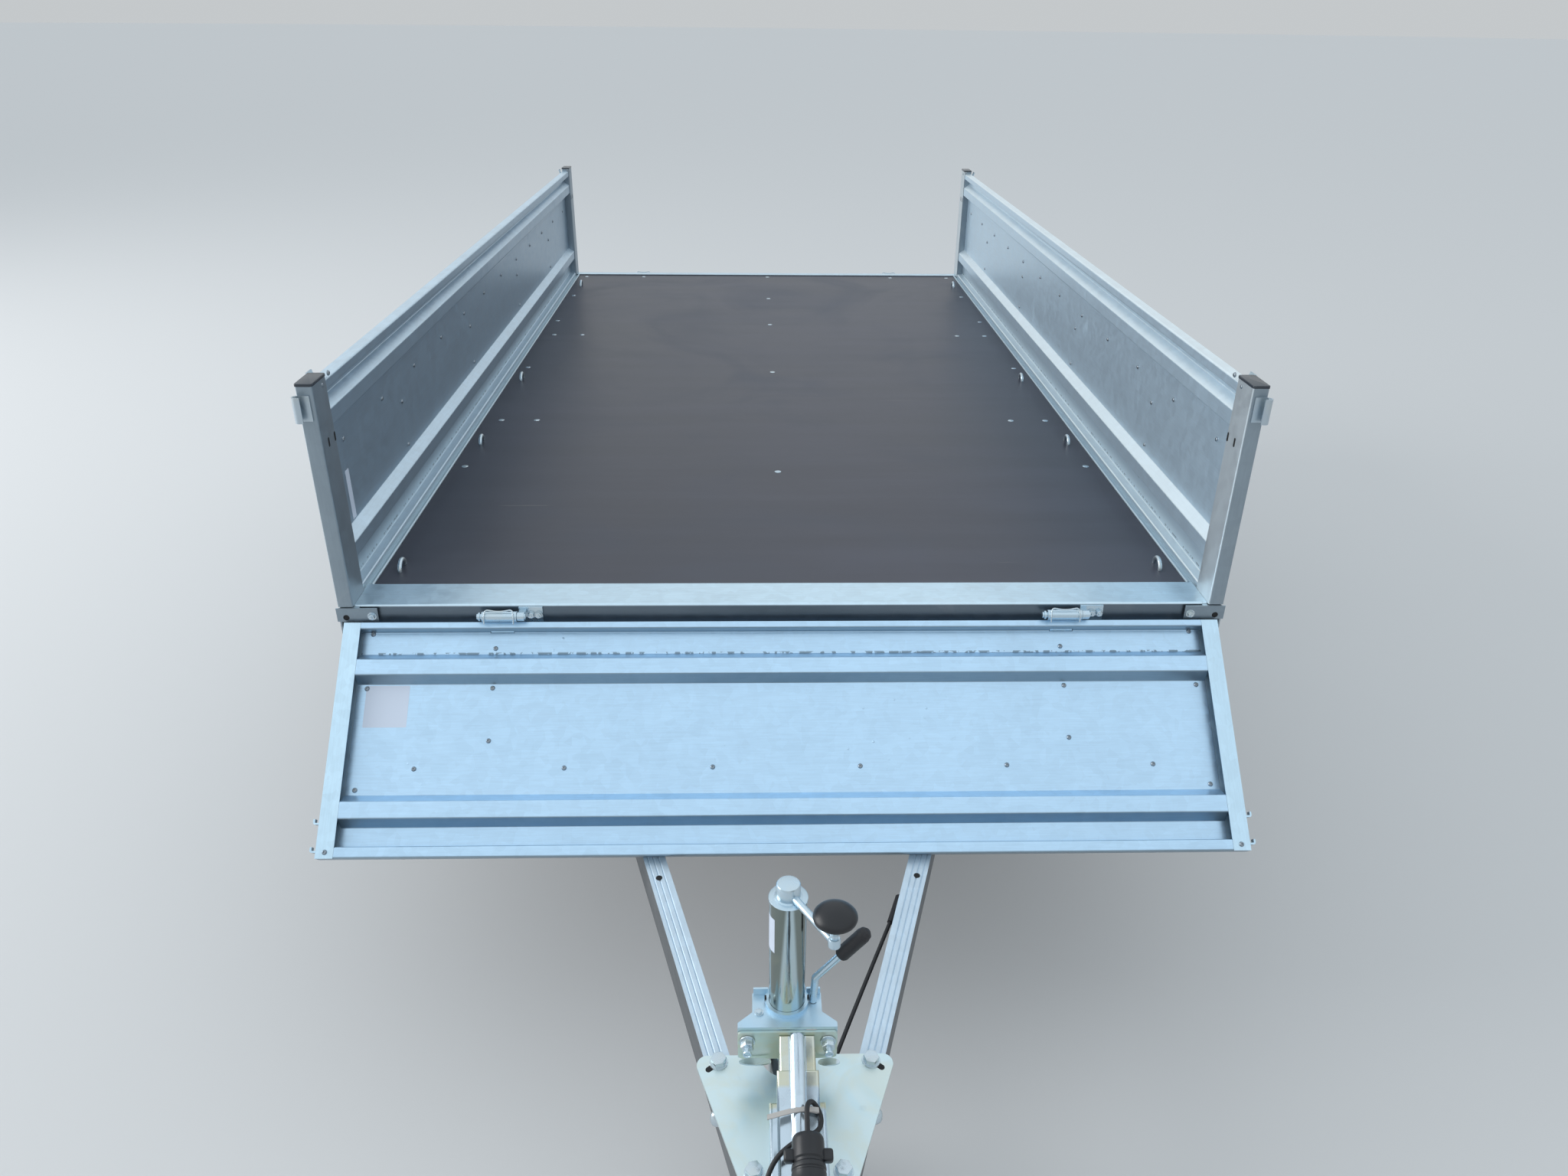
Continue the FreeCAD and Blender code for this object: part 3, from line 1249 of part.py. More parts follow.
def make_lamp():
    x0 = half - 40 - LAMP_WIDTH
    z0 = VALANCE_LOW + 8
    base = VALANCE_Y + 2.5 + GAP
    housing = box(x0, x0 + LAMP_WIDTH, base, base + 8, z0, z0 + LAMP_HEIGHT)
    lens = box(x0 + 3, x0 + LAMP_WIDTH - 3, base + 8 + GAP, base + LAMP_DEPTH, z0 + 3, z0 + LAMP_HEIGHT - 3)
    lens = lens.makeFillet(4.0, [e for e in lens.Edges if e.CenterOfMass.y > base + LAMP_DEPTH - 1])
    return housing, lens


SIGN_WIDTH = 520.0
SIGN_HEIGHT = 110.0
SIGN_DROP = 5.0
housing, lens = make_lamp()
nodes["rear_valance"] = make_valance()
nodes["lamp_housings"] = both(housing)
nodes["number_plate"] = box(-SIGN_WIDTH / 2, SIGN_WIDTH / 2, VALANCE_Y + 2.5 + GAP, VALANCE_Y + 6, VALANCE_LOW - SIGN_DROP,
                            VALANCE_LOW - SIGN_DROP + SIGN_HEIGHT)


REFLECTOR_FROM_END = 540.0
TRIANGLE_SIDE = 155.0
TRIANGLE_BAR = 24.0


def make_rear_reflectors():
    """Hollow triangles, point up, between the lamps and the plate."""
    centre = half - 40 - LAMP_WIDTH - 95
    low = VALANCE_LOW - 26
    height = TRIANGLE_SIDE * math.sqrt(3) / 2
    middle = low + height / 3

    def triangle(scale, y, depth):
        corners = [(centre - scale * TRIANGLE_SIDE / 2, middle - scale * height / 3),
                   (centre + scale * TRIANGLE_SIDE / 2, middle - scale * height / 3),
                   (centre, middle + scale * height * 2 / 3)]
        return prism(corners, xz, y, Vector(0, depth, 0), 6.0 * scale)

    y = VALANCE_Y + 2.5 + GAP
    inner = 1 - 3 * TRIANGLE_BAR / height
    return both(triangle(1.0, y, 7).cut(triangle(inner, y - 1, 9)))


def make_side_reflectors():
    pieces = []
    for y in (REFLECTOR_FROM_END, BED_LENGTH - REFLECTOR_FROM_END):
        plate = box(half + GAP, half + 6, y - 45, y + 45, -62, -24)
        pieces.append(both(plate.makeFillet(2.0, [e for e in plate.Edges if e.CenterOfMass.x > half + 5])))
    return pack_together(pieces)


nodes["lamp_lenses"] = pack_together([both(lens), make_rear_reflectors()])
nodes["side_reflectors"] = make_side_reflectors()


# Origin: ground level below the middle of the trailer

boxes = [shape.optimalBoundingBox() for shape in nodes.values()]
y_low = min(b.YMin for b in boxes)
y_high = max(b.YMax for b in boxes)
shift = Vector(0, -(y_low + y_high) / 2, bed_height)
print("shift", round(shift.y, 3), "x", round(min(b.XMin for b in boxes), 2), round(max(b.XMax for b in boxes), 2),
      "y", round(y_low, 2), round(y_high, 2), "z", round(min(b.ZMin for b in boxes) - ground, 3))

for name, shape in nodes.items():
    placed = shape.copy()
    placed.translate(shift)
    if not placed.isValid():
        print("not valid:", name)
    placed.exportStep("parts/" + name + ".step")
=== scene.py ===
import bpy
import bmesh
import math
from mathutils import Matrix, Vector


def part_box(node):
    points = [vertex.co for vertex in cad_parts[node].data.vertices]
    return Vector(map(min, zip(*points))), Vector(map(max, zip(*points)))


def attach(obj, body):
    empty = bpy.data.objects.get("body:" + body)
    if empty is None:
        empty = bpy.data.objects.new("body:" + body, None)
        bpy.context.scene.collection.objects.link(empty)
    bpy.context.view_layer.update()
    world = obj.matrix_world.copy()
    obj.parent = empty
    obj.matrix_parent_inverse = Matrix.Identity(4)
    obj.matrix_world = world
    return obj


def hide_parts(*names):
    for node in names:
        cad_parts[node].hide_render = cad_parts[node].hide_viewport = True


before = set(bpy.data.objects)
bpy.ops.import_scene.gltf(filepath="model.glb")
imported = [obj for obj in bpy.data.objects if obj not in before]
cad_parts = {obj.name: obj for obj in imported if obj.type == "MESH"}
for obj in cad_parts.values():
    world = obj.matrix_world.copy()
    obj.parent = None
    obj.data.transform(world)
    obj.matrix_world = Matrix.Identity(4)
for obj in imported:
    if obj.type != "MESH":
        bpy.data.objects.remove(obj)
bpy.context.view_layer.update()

print("frame loaded:", len(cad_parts), "nodes")

# Places are in the bed's own millimetres: X across, Y from the front face of the front posts, Z from
# the foot of the posts
postLow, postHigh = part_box("corner_posts")
bedFront = postLow.y
bedLevel = postLow.z + 0.0017
bedLength = (postHigh.y - postLow.y) * 1000
bedHalf = postHigh.x * 1000
rightward = Vector((1, 0, 0))
rearward = Vector((0, 1, 0))
both = (-1, 1)


def bed(x, y, z):
    return Vector((x / 1000, bedFront + y / 1000, bedLevel + z / 1000))


def aim(spot, heading, spin=0.0):
    turn = heading.to_track_quat("Z", "Y").to_matrix().to_4x4()
    return Matrix.Translation(spot) @ turn @ Matrix.Rotation(math.radians(spin), 4, "Z")


# Hinged boards as they hang: x across, s from the hinged edge, n from the inner plane
frontHinge = {"out": 11.8, "down": 13.5, "face": 11.2, "edge": 6.4, "opening": 133.2}
tailHinge = {"out": 31.0, "down": 19.0, "face": -10.0, "edge": 12.0, "opening": 180.0}


def onFrontBoard(x, s, n):
    angle = math.radians(frontHinge["opening"])
    y, z = n - frontHinge["face"], s + frontHinge["edge"]
    return bed(x, y * math.cos(angle) - z * math.sin(angle) - frontHinge["out"],
               y * math.sin(angle) + z * math.cos(angle) - frontHinge["down"])


def onTailBoard(x, s, n):
    angle = -math.radians(tailHinge["opening"])
    y, z = tailHinge["face"] - n, s + tailHinge["edge"]
    return bed(x, bedLength + tailHinge["out"] + y * math.cos(angle) - z * math.sin(angle),
               y * math.sin(angle) + z * math.cos(angle) - tailHinge["down"])


def boardFacing(place):
    return (place(0, 100, 10) - place(0, 100, 0)).normalized()


# Drawbar: the legs' tops slope down to the front
legTops = {"slope": 6.0, "rearY": -285.67, "rearZ": -315.84}
legAngle = math.radians(legTops["slope"])
legSlope = math.tan(legAngle)
legTilt = Vector((0, -math.sin(legAngle), math.cos(legAngle)))


def onLegs(x, y, height):
    return bed(x, y, legTops["rearZ"] + (y - legTops["rearY"]) * legSlope + height)


# Shader helpers

class Signal:
    def __init__(self, finish, socket):
        self.finish = finish
        self.socket = socket

    def calc(self, operation, first, second):
        made = self.finish.node("ShaderNodeMath", {0: first, 1: second}, operation=operation)
        return Signal(self.finish, made.outputs[0])

    def __add__(self, other):
        return self.calc("ADD", self, other)

    def __radd__(self, other):
        return self.calc("ADD", other, self)

    def __sub__(self, other):
        return self.calc("SUBTRACT", self, other)

    def __rsub__(self, other):
        return self.calc("SUBTRACT", other, self)

    def __mul__(self, other):
        return self.calc("MULTIPLY", self, other)

    def __rmul__(self, other):
        return self.calc("MULTIPLY", other, self)

    def __truediv__(self, other):
        return self.calc("DIVIDE", self, other)

    def __abs__(self):
        return self.calc("ABSOLUTE", self, 0.0)

    def sine(self):
        return self.calc("SINE", self, 0.0)


class Finish:
    def __init__(self, name, colour, metallic, roughness):
        self.material = bpy.data.materials.new(name)
        self.material.use_nodes = True
        self.tree = self.material.node_tree
        self.tree.nodes.clear()
        self.shader = self.node("ShaderNodeBsdfPrincipled", {"Base Color": (*colour, 1.0),
                                                            "Metallic": metallic, "Roughness": roughness})
        self.output = self.node("ShaderNodeOutputMaterial", {"Surface": self.shader.outputs["BSDF"]})
        self.spot = self.node("ShaderNodeTexCoord").outputs["Object"]
        self.lastBump = None

    def node(self, kind, inputs={}, **settings):
        made = self.tree.nodes.new(kind)
        for key, value in settings.items():
            setattr(made, key, value)
        for key, value in inputs.items():
            self.join(value, made.inputs[key])
        return made

    def join(self, value, target):
        if isinstance(value, Signal):
            value = value.socket
        if isinstance(value, bpy.types.NodeSocket):
            self.tree.links.new(value, target)
        else:
            target.default_value = value

    def stretched(self, scale, turn=(0, 0, 0)):
        made = self.node("ShaderNodeMapping", {"Vector": self.spot, "Scale": scale, "Rotation": turn})
        return made.outputs[0]

    def noise(self, scale, detail=2.0, stretch=None, distortion=0.0, turn=(0, 0, 0)):
        vector = self.stretched(stretch, turn) if stretch else self.spot
        made = self.node("ShaderNodeTexNoise", {"Vector": vector, "Scale": scale, "Detail": detail,
                                                "Distortion": distortion})
        return Signal(self, made.outputs[0])

    def cells(self, scale, shades=False):
        made = self.node("ShaderNodeTexVoronoi", {"Vector": self.spot, "Scale": scale}, feature="F1")
        if shades:
            parts = self.node("ShaderNodeSeparateColor", {0: made.outputs["Color"]})
            return Signal(self, parts.outputs[0])
        return Signal(self, made.outputs["Distance"])

    def axis(self, letter, vector=None):
        parts = self.node("ShaderNodeSeparateXYZ", {0: vector or self.spot})
        return Signal(self, parts.outputs[letter])

    def step(self, signal, low, high):
        made = self.node("ShaderNodeMapRange", {"Value": signal, "From Min": low, "From Max": high},
                         interpolation_type="SMOOTHSTEP")
        return Signal(self, made.outputs[0])

    def blend(self, share, first, second):
        ends = [end if isinstance(end, bpy.types.NodeSocket) else (*end, 1.0) for end in (first, second)]
        made = self.node("ShaderNodeMix", data_type="RGBA")
        for key, value in zip((0, 6, 7), (share, *ends)):
            self.join(value, made.inputs[key])
        return made.outputs[2]

    def feed(self, name, value):
        self.join(value, self.shader.inputs[name])

    def bump(self, height, strength, depth):
        made = self.node("ShaderNodeBump", {"Height": height, "Strength": strength, "Distance": depth})
        if self.lastBump is not None:
            self.join(self.lastBump, made.inputs["Normal"])
        self.lastBump = made.outputs[0]
        self.feed("Normal", self.lastBump)


def dim(colour, share):
    return tuple(c * share for c in colour)


# Finishes: zinc in sheets, plated zinc, worn plastics, rubbers and paints, then the single ones

galvanisedLook = {"spangle": 70.0, "fewer": 0.37, "cloud": 2.2, "beads": 46.0, "drops": (1.0, 1.0, 0.4),
                  "smears": (1.0, 1.0, 0.25)}


def galvanised(name, colour, upright, roughness, streak, cloud, bloom, metallic, beads=False, wet=None,
               foot=None, right=None, paintedLightLeftward=None):
    look = galvanisedLook
    finish = Finish(name, colour, metallic, roughness)
    spangle = finish.cells(look["spangle"], True)
    grain = finish.cells(look["spangle"] * look["fewer"], True)
    wide = finish.noise(look["cloud"], 5.0, distortion=0.6)
    fine = finish.noise(38.0, 4.0, streak)
    share = (0.5 + (spangle - 0.5) * 0.16 + (grain - 0.5) * 0.08 + (wide - 0.5) * cloud
             + (fine - 0.5) * 0.45)
    tone = finish.blend(share, dim(colour, 0.80), dim(colour, 1.20))
    pale = finish.step(finish.noise(9.0, 6.0, distortion=1.4), 0.58, 0.80)
    tone = finish.blend(pale * bloom, tone, tuple(0.4 * c + 0.46 for c in colour))
    marks = finish.step(finish.noise(5.0, 7.0, streak), 0.66, 0.76)
    tone = finish.blend(marks * 0.16, tone, dim(colour, 0.62))
    # Sheared, upright and downward faces take the darker upright colour: painted shade, as the faces to the
    # sky get more light
    facing = finish.node("ShaderNodeNewGeometry").outputs["True Normal"]
    side = finish.blend(share, dim(upright, 0.84), dim(upright, 1.16))
    side = finish.blend(pale * bloom, side, tuple(0.55 * c + 0.30 for c in upright))
    # The right half (X > 0) takes lighter colours: painted light falling from the left
    if right:
        paintedLightRight = finish.step(finish.axis("X"), -0.1, 0.1)
        tone = finish.blend(paintedLightRight, tone, finish.blend(share, dim(right[0], 0.90), dim(right[0], 1.10)))
        side = finish.blend(paintedLightRight, side, finish.blend(share, dim(right[1], 0.88), dim(right[1], 1.12)))
    # Upright faces turned to the left (-X) take a lighter, patchy colour: painted light from the left
    if paintedLightLeftward:
        smear = finish.step(finish.noise(7.0, 5.0, look["smears"]), 0.40, 0.68)
        patchy = finish.blend(smear, dim(paintedLightLeftward, 0.72), paintedLightLeftward)
        side = finish.blend(finish.step(finish.axis("X", facing), -0.3, -0.7), side, patchy)
    if foot:
        low, high, lighter = foot
        side = finish.blend(finish.step(finish.axis("Z"), high, low), side, lighter)
    tone = finish.blend(finish.step(finish.axis("Z", facing), 0.08, 0.62), side, tone)
    if wet:
        letter, low, high = wet
        band = finish.step(finish.axis(letter), low, low + 0.002)
        band = band * (1 - finish.step(finish.axis(letter), high - 0.002, high))
        drops = finish.step(finish.noise(95.0, 2.0, look["drops"]), 0.50, 0.56)
        tone = finish.blend(band * drops * 0.75, tone, dim(colour, 0.20))
    finish.feed("Base Color", tone)
    finish.feed("Roughness", roughness - 0.04 + 0.08 * spangle + 0.12 * pale)
    finish.bump(finish.noise(420.0, 3.0), 0.08, 0.0005)
    finish.bump(finish.noise(7.0, 3.0), 0.08, 0.008)
    if beads:
        bead = finish.cells(look["beads"])
        near = finish.step(finish.noise(3.1, 2.0), 0.54, 0.66)
        finish.bump(finish.step(0.13 - bead, 0.0, 0.10) * near, 0.7, 0.0014)
    return finish.material


def zincPlate(name, colour, roughness, warm, warmShare):
    finish = Finish(name, colour, 0.92, roughness)
    cloud = finish.step(finish.noise(11.0, 3.0, distortion=2.2), 0.42, 0.66)
    tone = finish.blend(cloud * warmShare, colour, warm)
    cool = finish.step(finish.noise(6.0, 2.0, distortion=3.0), 0.50, 0.70)
    tone = finish.blend(cool * 0.35, tone, (colour[0] * 0.86, colour[1] * 0.98, colour[2] * 1.06))
    stain = finish.step(finish.noise(28.0, 6.0), 0.66, 0.78)
    tone = finish.blend(stain * 0.22, tone, dim(colour, 0.55))
    finish.feed("Base Color", tone)
    finish.feed("Roughness", roughness + 0.10 * cloud + 0.14 * stain)
    finish.bump(finish.noise(260.0, 3.0), 0.08, 0.0005)
    return finish.material


# Each kind's patches (scale, detail, distortion, from, to), added roughness and grain
wornKinds = {"plastic": ((14.0, 6.0, 0.8, 0.54, 0.80), 0.16, (900.0, 2.0, 0.20, 0.0004)),
             "rubber": ((22.0, 5.0, 0.0, 0.50, 0.78), 0.20, (600.0, 3.0, 0.20, 0.0004)),
             "tyre": ((16.0, 6.0, 0.0, 0.45, 0.75), 0.18, (700.0, 3.0, 0.25, 0.0006)),
             "paint": ((12.0, 6.0, 0.0, 0.48, 0.80), 0.14, (300.0, 3.0, 0.10, 0.0005))}


def wornFinish(name, kind, colour, worn, share, roughness, metallic=0.0):
    (scale, detail, distortion, low, high), rougher, (grain, layers, strength, depth) = wornKinds[kind]
    finish = Finish(name, colour, metallic, roughness)
    patches = finish.step(finish.noise(scale, detail, distortion=distortion), low, high)
    finish.feed("Base Color", finish.blend(patches * share, colour, worn))
    finish.feed("Roughness", roughness + rougher * patches)
    finish.bump(finish.noise(grain, layers), strength, depth)
    return finish.material


def mouldedPlastic(name, colour, roughness, dust):
    return wornFinish(name, "plastic", colour, tuple(c + 0.08 for c in colour), dust, roughness)


def softRubber(name, colour):
    return wornFinish(name, "rubber", colour, tuple(c + 0.05 for c in colour), 0.22, 0.50)


def paintedSteel(name, colour, roughness):
    return wornFinish(name, "paint", colour, dim(colour, 0.62), 0.25, roughness, 0.35)


plywoodLook = {"film": (0.040, 0.041, 0.058), "dusty": (0.105, 0.120, 0.152), "scuffed": (0.22, 0.20, 0.19),
               "mesh": 0.0026}


def phenolicPlywood():
    look = plywoodLook
    finish = Finish("phenolicPlywood", look["film"], 0.0, 0.36)
    wide = finish.noise(1.1, 5.0, distortion=0.8)
    along = finish.noise(6.0, 5.0, (0.25, 3.0, 1.0))
    tone = finish.blend(finish.step(wide * 0.6 + along * 0.4, 0.34, 0.72), dim(look["film"], 0.84),
                        dim(look["film"], 1.25))
    dust = finish.step(finish.noise(2.0, 7.0, distortion=1.4), 0.44, 0.82)
    tone = finish.blend(dust * 0.32, tone, look["dusty"])
    scuff = finish.step(finish.noise(8.0, 8.0, (0.3, 6.0, 1.0), turn=(0, 0, 0.30)), 0.715, 0.735)
    finish.feed("Base Color", finish.blend(scuff * 0.30, tone, look["scuffed"]))
    finish.feed("Roughness", 0.30 + 0.14 * dust + 0.10 * wide)
    pitch = 2 * math.pi / look["mesh"]
    wave, weft = ((finish.axis(letter) * pitch).sine() for letter in "XY")
    finish.bump(wave * weft, 0.14, 0.0004)
    finish.bump(finish.noise(30.0, 4.0), 0.08, 0.002)
    return finish.material


lampLook = {"red": (0.50, 0.012, 0.012), "amber": (0.80, 0.26, 0.02), "dark": (0.20, 0.01, 0.01),
            "amberFrom": 0.688}


def lampLens():
    look = lampLook
    finish = Finish("lampLens", look["red"], 0.0, 0.16)
    outer = finish.step(abs(finish.axis("X")), look["amberFrom"], look["amberFrom"] + 0.001)
    cell = finish.cells(150.0)
    tone = finish.blend(outer, look["red"], look["amber"])
    finish.feed("Base Color", finish.blend(finish.step(cell, 0.2, 0.8) * 0.35, tone, look["dark"]))
    finish.feed("Roughness", 0.14 + 0.10 * cell)
    finish.feed("Coat Weight", 0.6)
    finish.bump(cell, 0.35, 0.0015)
    return finish.material


def reflectorPlastic(name, colour):
    finish = Finish(name, colour, 0.0, 0.18)
    prism = finish.cells(330.0)
    bright = tuple(min(1.0, 1.25 * c) for c in colour)
    finish.feed("Base Color", finish.blend(finish.step(prism, 0.1, 0.7), bright, dim(colour, 0.55)))
    finish.feed("Roughness", 0.14 + 0.12 * prism)
    finish.feed("Coat Weight", 0.5)
    finish.bump(prism, 0.35, 0.0010)
    return finish.material


# The jockey tube's colours are painted reflections: olive with darker upright streaks, a pale stripe down
# the middle and at both edges, and a warm glow low down
tubeLook = {"axis": -0.012, "radius": 0.024, "top": bed(0, 0, -72).z, "olive": (0.24, 0.28, 0.26),
            "pale": (0.60, 0.74, 0.80), "warm": (0.60, 0.60, 0.42)}


def turnedTube():
    look = tubeLook
    finish = Finish("tubeSteel", look["pale"], 0.95, 0.12)
    across = (finish.axis("X") - look["axis"]) / look["radius"]
    fall = (look["top"] - finish.axis("Z")) * 2.2
    # Pale stripe down the middle and pale edges: painted reflections
    middle = 1 - finish.step(abs(across - 0.06), 0.10 + fall, 0.30 + fall)
    edge = finish.step(abs(across), 0.86, 0.97)
    patches = finish.step(finish.noise(14.0, 3.0, (1.0, 1.0, 0.15), 1.2), 0.35, 0.65)
    tone = finish.blend(patches, look["olive"], dim(look["olive"], 0.70))
    tone = finish.blend(middle * 0.80, tone, look["pale"])
    tone = finish.blend(edge * 0.85, tone, look["pale"])
    warm = finish.step(finish.noise(9.0, 2.0, distortion=2.0), 0.50, 0.70)
    tone = finish.blend(warm * 0.20, tone, look["warm"])
    # Warm glow low on the tube: painted reflection
    paintedWarmReflection = finish.step(fall, 0.16, 0.36) * (1 - finish.step(abs(across + 0.02), 0.16, 0.34))
    finish.feed("Base Color", finish.blend(paintedWarmReflection * 0.65, tone, look["warm"]))
    finish.feed("Roughness", 0.12 + 0.10 * warm)
    finish.bump(finish.noise(240.0, 3.0), 0.05, 0.0004)
    return finish.material


couplingLook = {"cool": (0.60, 0.70, 0.78), "warm": (0.66, 0.63, 0.44), "warmFrom": -757.0}


def couplingPlate():
    look = couplingLook
    finish = Finish("couplingZinc", look["cool"], 0.93, 0.20)
    ends = [bed(0, look["warmFrom"] + shift, 0).y for shift in (-3, 3)]
    rear = finish.step(finish.axis("Y"), *ends)
    beside = finish.step(abs(finish.axis("X")), 0.0100, 0.0125)
    cloud = finish.step(finish.noise(12.0, 3.0, distortion=2.2), 0.40, 0.68)
    tone = finish.blend(cloud * 0.35, look["cool"], dim(look["cool"], 0.78))
    tone = finish.blend(rear * beside * (0.55 + 0.35 * cloud), tone, look["warm"])
    finish.feed("Base Color", tone)
    finish.feed("Roughness", 0.18 + 0.12 * cloud)
    finish.bump(finish.noise(260.0, 3.0), 0.06, 0.0005)
    return finish.material


ledge = bed(0, 0, 10.0).z
bend = (onFrontBoard(0, 55, -20).y, onFrontBoard(0, 48, -20).y)

# Colour of faces to the sky and of upright ones (painted shade), roughness, streaks, cloud, bloom and metal
boardZinc = galvanised("boardZinc", (0.53, 0.73, 0.91), (0.30, 0.40, 0.48), 0.34, (0.6, 9.0, 9.0), 0.25,
                       0.06, 0.88, beads=True, wet=("Y", *bend))
frameZinc = galvanised("frameZinc", (0.60, 0.79, 0.92), (0.34, 0.43, 0.50), 0.36, (9.0, 0.8, 0.8), 0.30,
                       0.06, 0.88)
# The side boards' right colours are painted light on the right board
sideZinc = galvanised("sideZinc", (0.62, 0.75, 0.85), (0.34, 0.45, 0.55), 0.36, (9.0, 0.6, 9.0), 0.25,
                      0.05, 0.66, wet=("Z", ledge + 0.0035, ledge + 0.0085),
                      foot=(ledge, ledge + 0.050, (0.54, 0.65, 0.72)),
                      right=((0.82, 0.91, 0.95), (0.62, 0.78, 0.90)))
# The posts' lighter colour for faces turned to the left is painted light
postZinc = galvanised("postZinc", (0.56, 0.64, 0.70), (0.29, 0.35, 0.40), 0.42, (9.0, 9.0, 0.8), 0.60,
                      0.35, 0.72, paintedLightLeftward=(0.78, 0.86, 0.90))
sillZinc = galvanised("sillZinc", (0.66, 0.82, 0.92), (0.15, 0.19, 0.23), 0.34, (0.7, 9.0, 9.0), 0.45,
                      0.25, 0.86, beads=True)
railZinc = galvanised("railZinc", (0.56, 0.68, 0.75), (0.32, 0.39, 0.44), 0.40, (9.0, 0.7, 9.0), 0.50,
                      0.20, 0.84)
dippedZinc = galvanised("dippedZinc", (0.52, 0.56, 0.58), (0.42, 0.45, 0.47), 0.50, (3.0, 3.0, 3.0), 0.80,
                        0.30, 0.80)
legZinc = galvanised("legZinc", (0.60, 0.71, 0.80), (0.155, 0.165, 0.175), 0.52, (5.0, 0.5, 5.0), 0.45,
                     0.25, 0.66)
plateEdge = galvanised("plateEdge", (0.50, 0.60, 0.66), (0.27, 0.33, 0.38), 0.38, (3.0, 3.0, 3.0), 0.30,
                       0.10, 0.84)
# Colour, roughness, warm tone and its share
keeperZinc = zincPlate("keeperZinc", (0.50, 0.58, 0.64), 0.34, (0.60, 0.62, 0.58), 0.30)
platedSteel = zincPlate("platedSteel", (0.58, 0.71, 0.80), 0.24, (0.70, 0.72, 0.66), 0.25)
bracketZinc = zincPlate("bracketZinc", (0.55, 0.72, 0.84), 0.34, (0.62, 0.72, 0.76), 0.35)
plateZinc = zincPlate("plateZinc", (0.68, 0.81, 0.83), 0.32, (0.74, 0.76, 0.64), 0.35)
yokeZinc = zincPlate("yokeZinc", (0.66, 0.74, 0.66), 0.30, (0.72, 0.68, 0.50), 0.60)
fastenerSteel = zincPlate("fastenerSteel", (0.60, 0.69, 0.75), 0.22, (0.66, 0.66, 0.56), 0.25)
rivetSteel = zincPlate("rivetSteel", (0.30, 0.34, 0.38), 0.34, (0.36, 0.38, 0.38), 0.30)
tubeSteel = turnedTube()
couplingZinc = couplingPlate()
deckFilm = phenolicPlywood()
# Colour, roughness and share of dust
blackPlastic = mouldedPlastic("blackPlastic", (0.012, 0.013, 0.016), 0.34, 0.16)
capPlastic = mouldedPlastic("capPlastic", (0.030, 0.038, 0.050), 0.20, 0.30)
guardPlastic = mouldedPlastic("guardPlastic", (0.022, 0.022, 0.024), 0.52, 0.35)
labelFilm = mouldedPlastic("labelFilm", (0.64, 0.71, 0.83), 0.30, 0.30)
tieNylon = mouldedPlastic("tieNylon", (0.46, 0.44, 0.42), 0.28, 0.40)
holeShadow = mouldedPlastic("holeShadow", (0.008, 0.008, 0.009), 0.7, 0.05)
gripRubber = softRubber("gripRubber", (0.014, 0.014, 0.017))
cableSheath = softRubber("cableSheath", (0.014, 0.014, 0.016))
tyreBlack = wornFinish("tyreRubber", "tyre", (0.030, 0.030, 0.032), (0.085, 0.080, 0.074), 0.35, 0.66)
rimPaint = paintedSteel("rimPaint", (0.56, 0.57, 0.58), 0.38)
plateWhite = paintedSteel("plateWhite", (0.74, 0.74, 0.72), 0.34)
lensPlastic = lampLens()
orangeReflector = reflectorPlastic("orangeReflector", (0.80, 0.27, 0.03))
print("finishes made")

dressing = {
    deckFilm: "deck", postZinc: "corner_posts", capPlastic: "post_caps", sideZinc: "side_boards",
    boardZinc: "front_board tail_board", frameZinc: "front_board_frames tail_board_frames rear_valance",
    platedSteel: "front_board_straps tail_board_straps fixed_hinges coupling_head coupling_handle"
                 " jockey_crank clamp_lever jockey_fork side_latches",
    blackPlastic: "front_board_hooks tail_board_hooks side_board_hooks crank_knob cable_plug lamp_housings",
    sillZinc: "front_sill rear_sill", railZinc: "side_rails", legZinc: "drawbar_legs",
    dippedZinc: "cross_members main_beams front_hangers rear_hangers axle_beam axle_brackets swing_arms"
                " hub_left hub_right mudguard_stays",
    plateZinc: "drawbar_plate", couplingZinc: "coupling_body", bracketZinc: "jockey_bracket",
    yokeZinc: "coupling_yoke", tubeSteel: "jockey_outer_tube jockey_inner_tube",
    gripRubber: "clamp_grip jockey_tyre cable_boot", rimPaint: "jockey_hub rim_left rim_right",
    cableSheath: "wiring_cable", tyreBlack: "tyre_left tyre_right", guardPlastic: "mudguards",
    plateEdge: "corner_plates", keeperZinc: "keepers", fastenerSteel: "tie_loops",
    lensPlastic: "lamp_lenses", plateWhite: "number_plate", orangeReflector: "side_reflectors",
}
finishOf = {nodeName: material for material, names in dressing.items() for nodeName in names.split()}
for nodeName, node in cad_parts.items():
    if not node.material_slots:
        node.data.materials.append(finishOf[nodeName])
    for materialSlot in node.material_slots:
        materialSlot.material = finishOf[nodeName]
print("nodes dressed")


# Making pieces

slotOf = {blackPlastic: "black_plastic", capPlastic: "black_plastic", holeShadow: "black_plastic",
          tieNylon: "black_plastic", labelFilm: "plate_white", postZinc: "galvanised",
          tyreBlack: "tyre", gripRubber: "tyre", cableSheath: "cable_black"}


def addObject(name, data):
    made = bpy.data.objects.new(name, data)
    bpy.context.scene.collection.objects.link(made)
    return made


def addPiece(name, data, material, body="root", slot=None):
    data.materials.append(material)
    piece = addObject(name, data)
    slot = slot or slotOf.get(material, "zinc_bright")
    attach(piece, body)
    return piece


def madePiece(name, bm, material, sharp=30.0, body="root", replaced=(), slot=None, place=None):
    if place:
        bmesh.ops.transform(bm, matrix=place, verts=bm.verts)
    mesh = bpy.data.meshes.new(name)
    bm.to_mesh(mesh)
    bm.free()
    for face in mesh.polygons:
        face.use_smooth = True
    mesh.set_sharp_from_angle(angle=math.radians(sharp))
    piece = addPiece(name, mesh, material, body, slot)
    if replaced:
        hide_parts(*replaced)
    return piece


